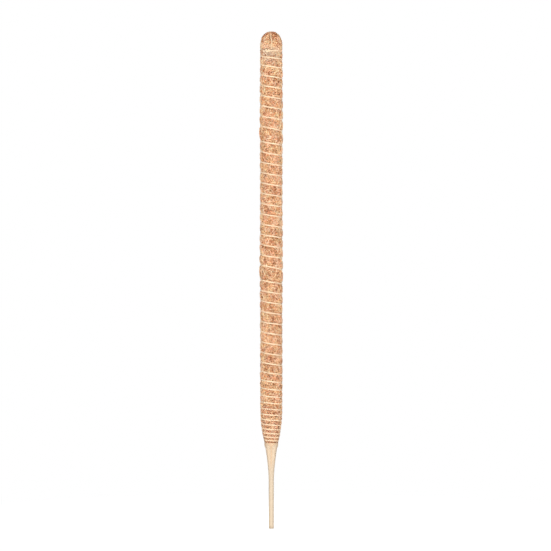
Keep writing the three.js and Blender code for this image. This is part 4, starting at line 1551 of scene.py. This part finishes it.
class MOSSPOLE_OT_stage(bpy.types.Operator):
    """Sets up the floor, the soft light, the white surround and the camera"""

    bl_idname = "mosspole.stage"
    bl_label = "Studio"

    FLOOR_SIZE = 12.0
    FLOOR_DROP = 0.2 * MM
    FLOOR_LIFT = 0.62
    SHADOW_REACH = 0.5
    SHADOW_CORE = SHADOW_REACH / 4
    AMBIENT = 0.19
    CAMERA_DISTANCE = 6.0
    CAMERA_RISE = math.radians(2.5)
    CAMERA_SIGHT = 10 * CAMERA_DISTANCE
    SENSOR_WIDTH = 36.0
    FRAME_HEIGHT = 665 * MM
    AIM = Vector((5.1 * MM, 0.0, 306.2 * MM))
    # Name, place, size and power of each lamp
    LAMPS = (
        ("key", (-0.6, -3.0, 1.1), 1.2, 50.0),
        ("fill", (0.6, -3.0, 0.62), 1.2, 46.5),
        ("back_left", (-1.2, 2.8, 1.2), 1.3, 40.0),
        ("back_right", (1.2, 2.8, 0.8), 1.3, 40.0),
    )

    def execute(self, context):
        self.floor(context)
        self.surround(context)
        for lamp in self.LAMPS:
            self.lamp(*lamp)
        self.camera(context)
        return {"FINISHED"}

    def floor(self, context):
        """A floor that shows the pole's shadow near it and is white farther off."""
        leave_edit_mode()
        bpy.ops.mesh.primitive_plane_add(size=self.FLOOR_SIZE, location=(0, 0, -self.FLOOR_DROP))
        floor = context.object
        floor.name = "studio_floor"
        bpy.ops.object.transform_apply(location=True, rotation=False, scale=False)
        material, nodes = new_material("studio_floor")
        nodes.shade({"Base Color": colours_of(context).floor, "Roughness": 0.9})
        matt = nodes.tree.nodes["Principled BSDF"].outputs["BSDF"]
        white = nodes.add("ShaderNodeEmission", "Emission", Strength=1.0)
        lift = nodes.add("ShaderNodeEmission", "Emission", Strength=self.FLOOR_LIFT)
        lifted = nodes.add("ShaderNodeAddShader", "Shader", matt, lift)
        distance = nodes.add("ShaderNodeVectorMath", "Value", nodes.place(), operation="LENGTH")
        reach = {"Value": distance, "From Min": self.SHADOW_CORE, "From Max": self.SHADOW_REACH}
        away = nodes.add("ShaderNodeMapRange", "Result", interpolation_type="SMOOTHSTEP", **reach)
        shown_floor = nodes.add("ShaderNodeMixShader", "Shader", away, lifted, white)
        mixed = nodes.add("ShaderNodeMixShader", "Shader", self.seen_rays(nodes), matt, shown_floor)
        nodes.set_values(nodes.tree.nodes["Material Output"], {"Surface": mixed})
        floor.data.materials.append(material)

    def seen_rays(self, nodes):
        """1 for rays that see the surround straight, by reflection or through glass."""
        rays = nodes.tree.nodes.new("ShaderNodeLightPath").outputs
        seen = rays["Is Camera Ray"]
        for kind in ("Is Glossy Ray", "Is Transmission Ray"):
            seen = nodes.calculate("MAXIMUM", seen, rays[kind])
        return seen

    def surround(self, context):
        """White all round to the eye, and a dim light on the pole."""
        world = bpy.data.worlds.new("studio_surround")
        nodes = Nodes(world)
        strength = nodes.spread(self.seen_rays(nodes), self.AMBIENT, 1.0)
        nodes.set_values(nodes.tree.nodes["Background"], {"Color": WHITE, "Strength": strength})
        context.scene.world = world

    def lamp(self, name, place, size, power):
        leave_edit_mode()
        bpy.ops.object.light_add(type="AREA", location=place)
        lamp = bpy.context.object
        lamp.name = f"studio_{name}"
        lamp.data.size = size
        lamp.data.energy = power
        lamp.rotation_euler = (self.AIM - Vector(place)).to_track_quat("-Z", "Y").to_euler()

    def camera(self, context):
        leave_edit_mode()
        back = Vector((0, -math.cos(self.CAMERA_RISE), math.sin(self.CAMERA_RISE)))
        bpy.ops.object.camera_add(location=self.AIM + back * self.CAMERA_DISTANCE)
        camera = context.object
        camera.rotation_euler = (-back).to_track_quat("-Z", "Y").to_euler()
        camera.data.sensor_width = self.SENSOR_WIDTH
        camera.data.lens = self.SENSOR_WIDTH * self.CAMERA_DISTANCE / self.FRAME_HEIGHT
        camera.data.clip_end = self.CAMERA_SIGHT
        context.scene.camera = camera
        context.scene.view_settings.view_transform = "Standard"


OPERATORS = (
    MOSSPOLE_OT_core,
    MOSSPOLE_OT_stake_sleeve,
    MOSSPOLE_OT_coir_packing,
    MOSSPOLE_OT_coir_wraps,
    MOSSPOLE_OT_crown_pad,
    MOSSPOLE_OT_coir_fibres,
    MOSSPOLE_OT_binding_cord,
    MOSSPOLE_OT_knots,
    MOSSPOLE_OT_crown_strand,
    MOSSPOLE_OT_stage,
)


class MOSSPOLE_PT_panel(bpy.types.Panel):
    """Buttons for the pole's pieces, and their sizes and colours"""

    bl_idname = "MOSSPOLE_PT_panel"
    bl_label = "Moss pole"
    bl_space_type = "VIEW_3D"
    bl_region_type = "UI"
    bl_category = "Moss pole"

    def draw(self, context):
        for operator in OPERATORS:
            self.layout.operator(operator.bl_idname)
        for group in (sizes_of(context), colours_of(context)):
            box = self.layout.box()
            for name in group.__annotations__:
                box.prop(group, name)


CLASSES = (PoleSizes, PoleColours, *OPERATORS, MOSSPOLE_PT_panel)


def register():
    for item in CLASSES:
        bpy.utils.register_class(item)
    bpy.types.Scene.moss_pole_sizes = bpy.props.PointerProperty(type=PoleSizes)
    bpy.types.Scene.moss_pole_colours = bpy.props.PointerProperty(type=PoleColours)


def unregister():
    del bpy.types.Scene.moss_pole_colours
    del bpy.types.Scene.moss_pole_sizes
    for item in reversed(CLASSES):
        bpy.utils.unregister_class(item)


def main():
    register()
    bpy.ops.mosspole.core()
    bpy.ops.mosspole.stake_sleeve()
    bpy.ops.mosspole.coir_packing()
    bpy.ops.mosspole.coir_wraps()
    bpy.ops.mosspole.crown_pad()
    bpy.ops.mosspole.coir_fibres()
    bpy.ops.mosspole.binding_cord()
    bpy.ops.mosspole.knots()
    bpy.ops.mosspole.crown_strand()
    bpy.ops.mosspole.stage()


if __name__ == "__main__":
    main()
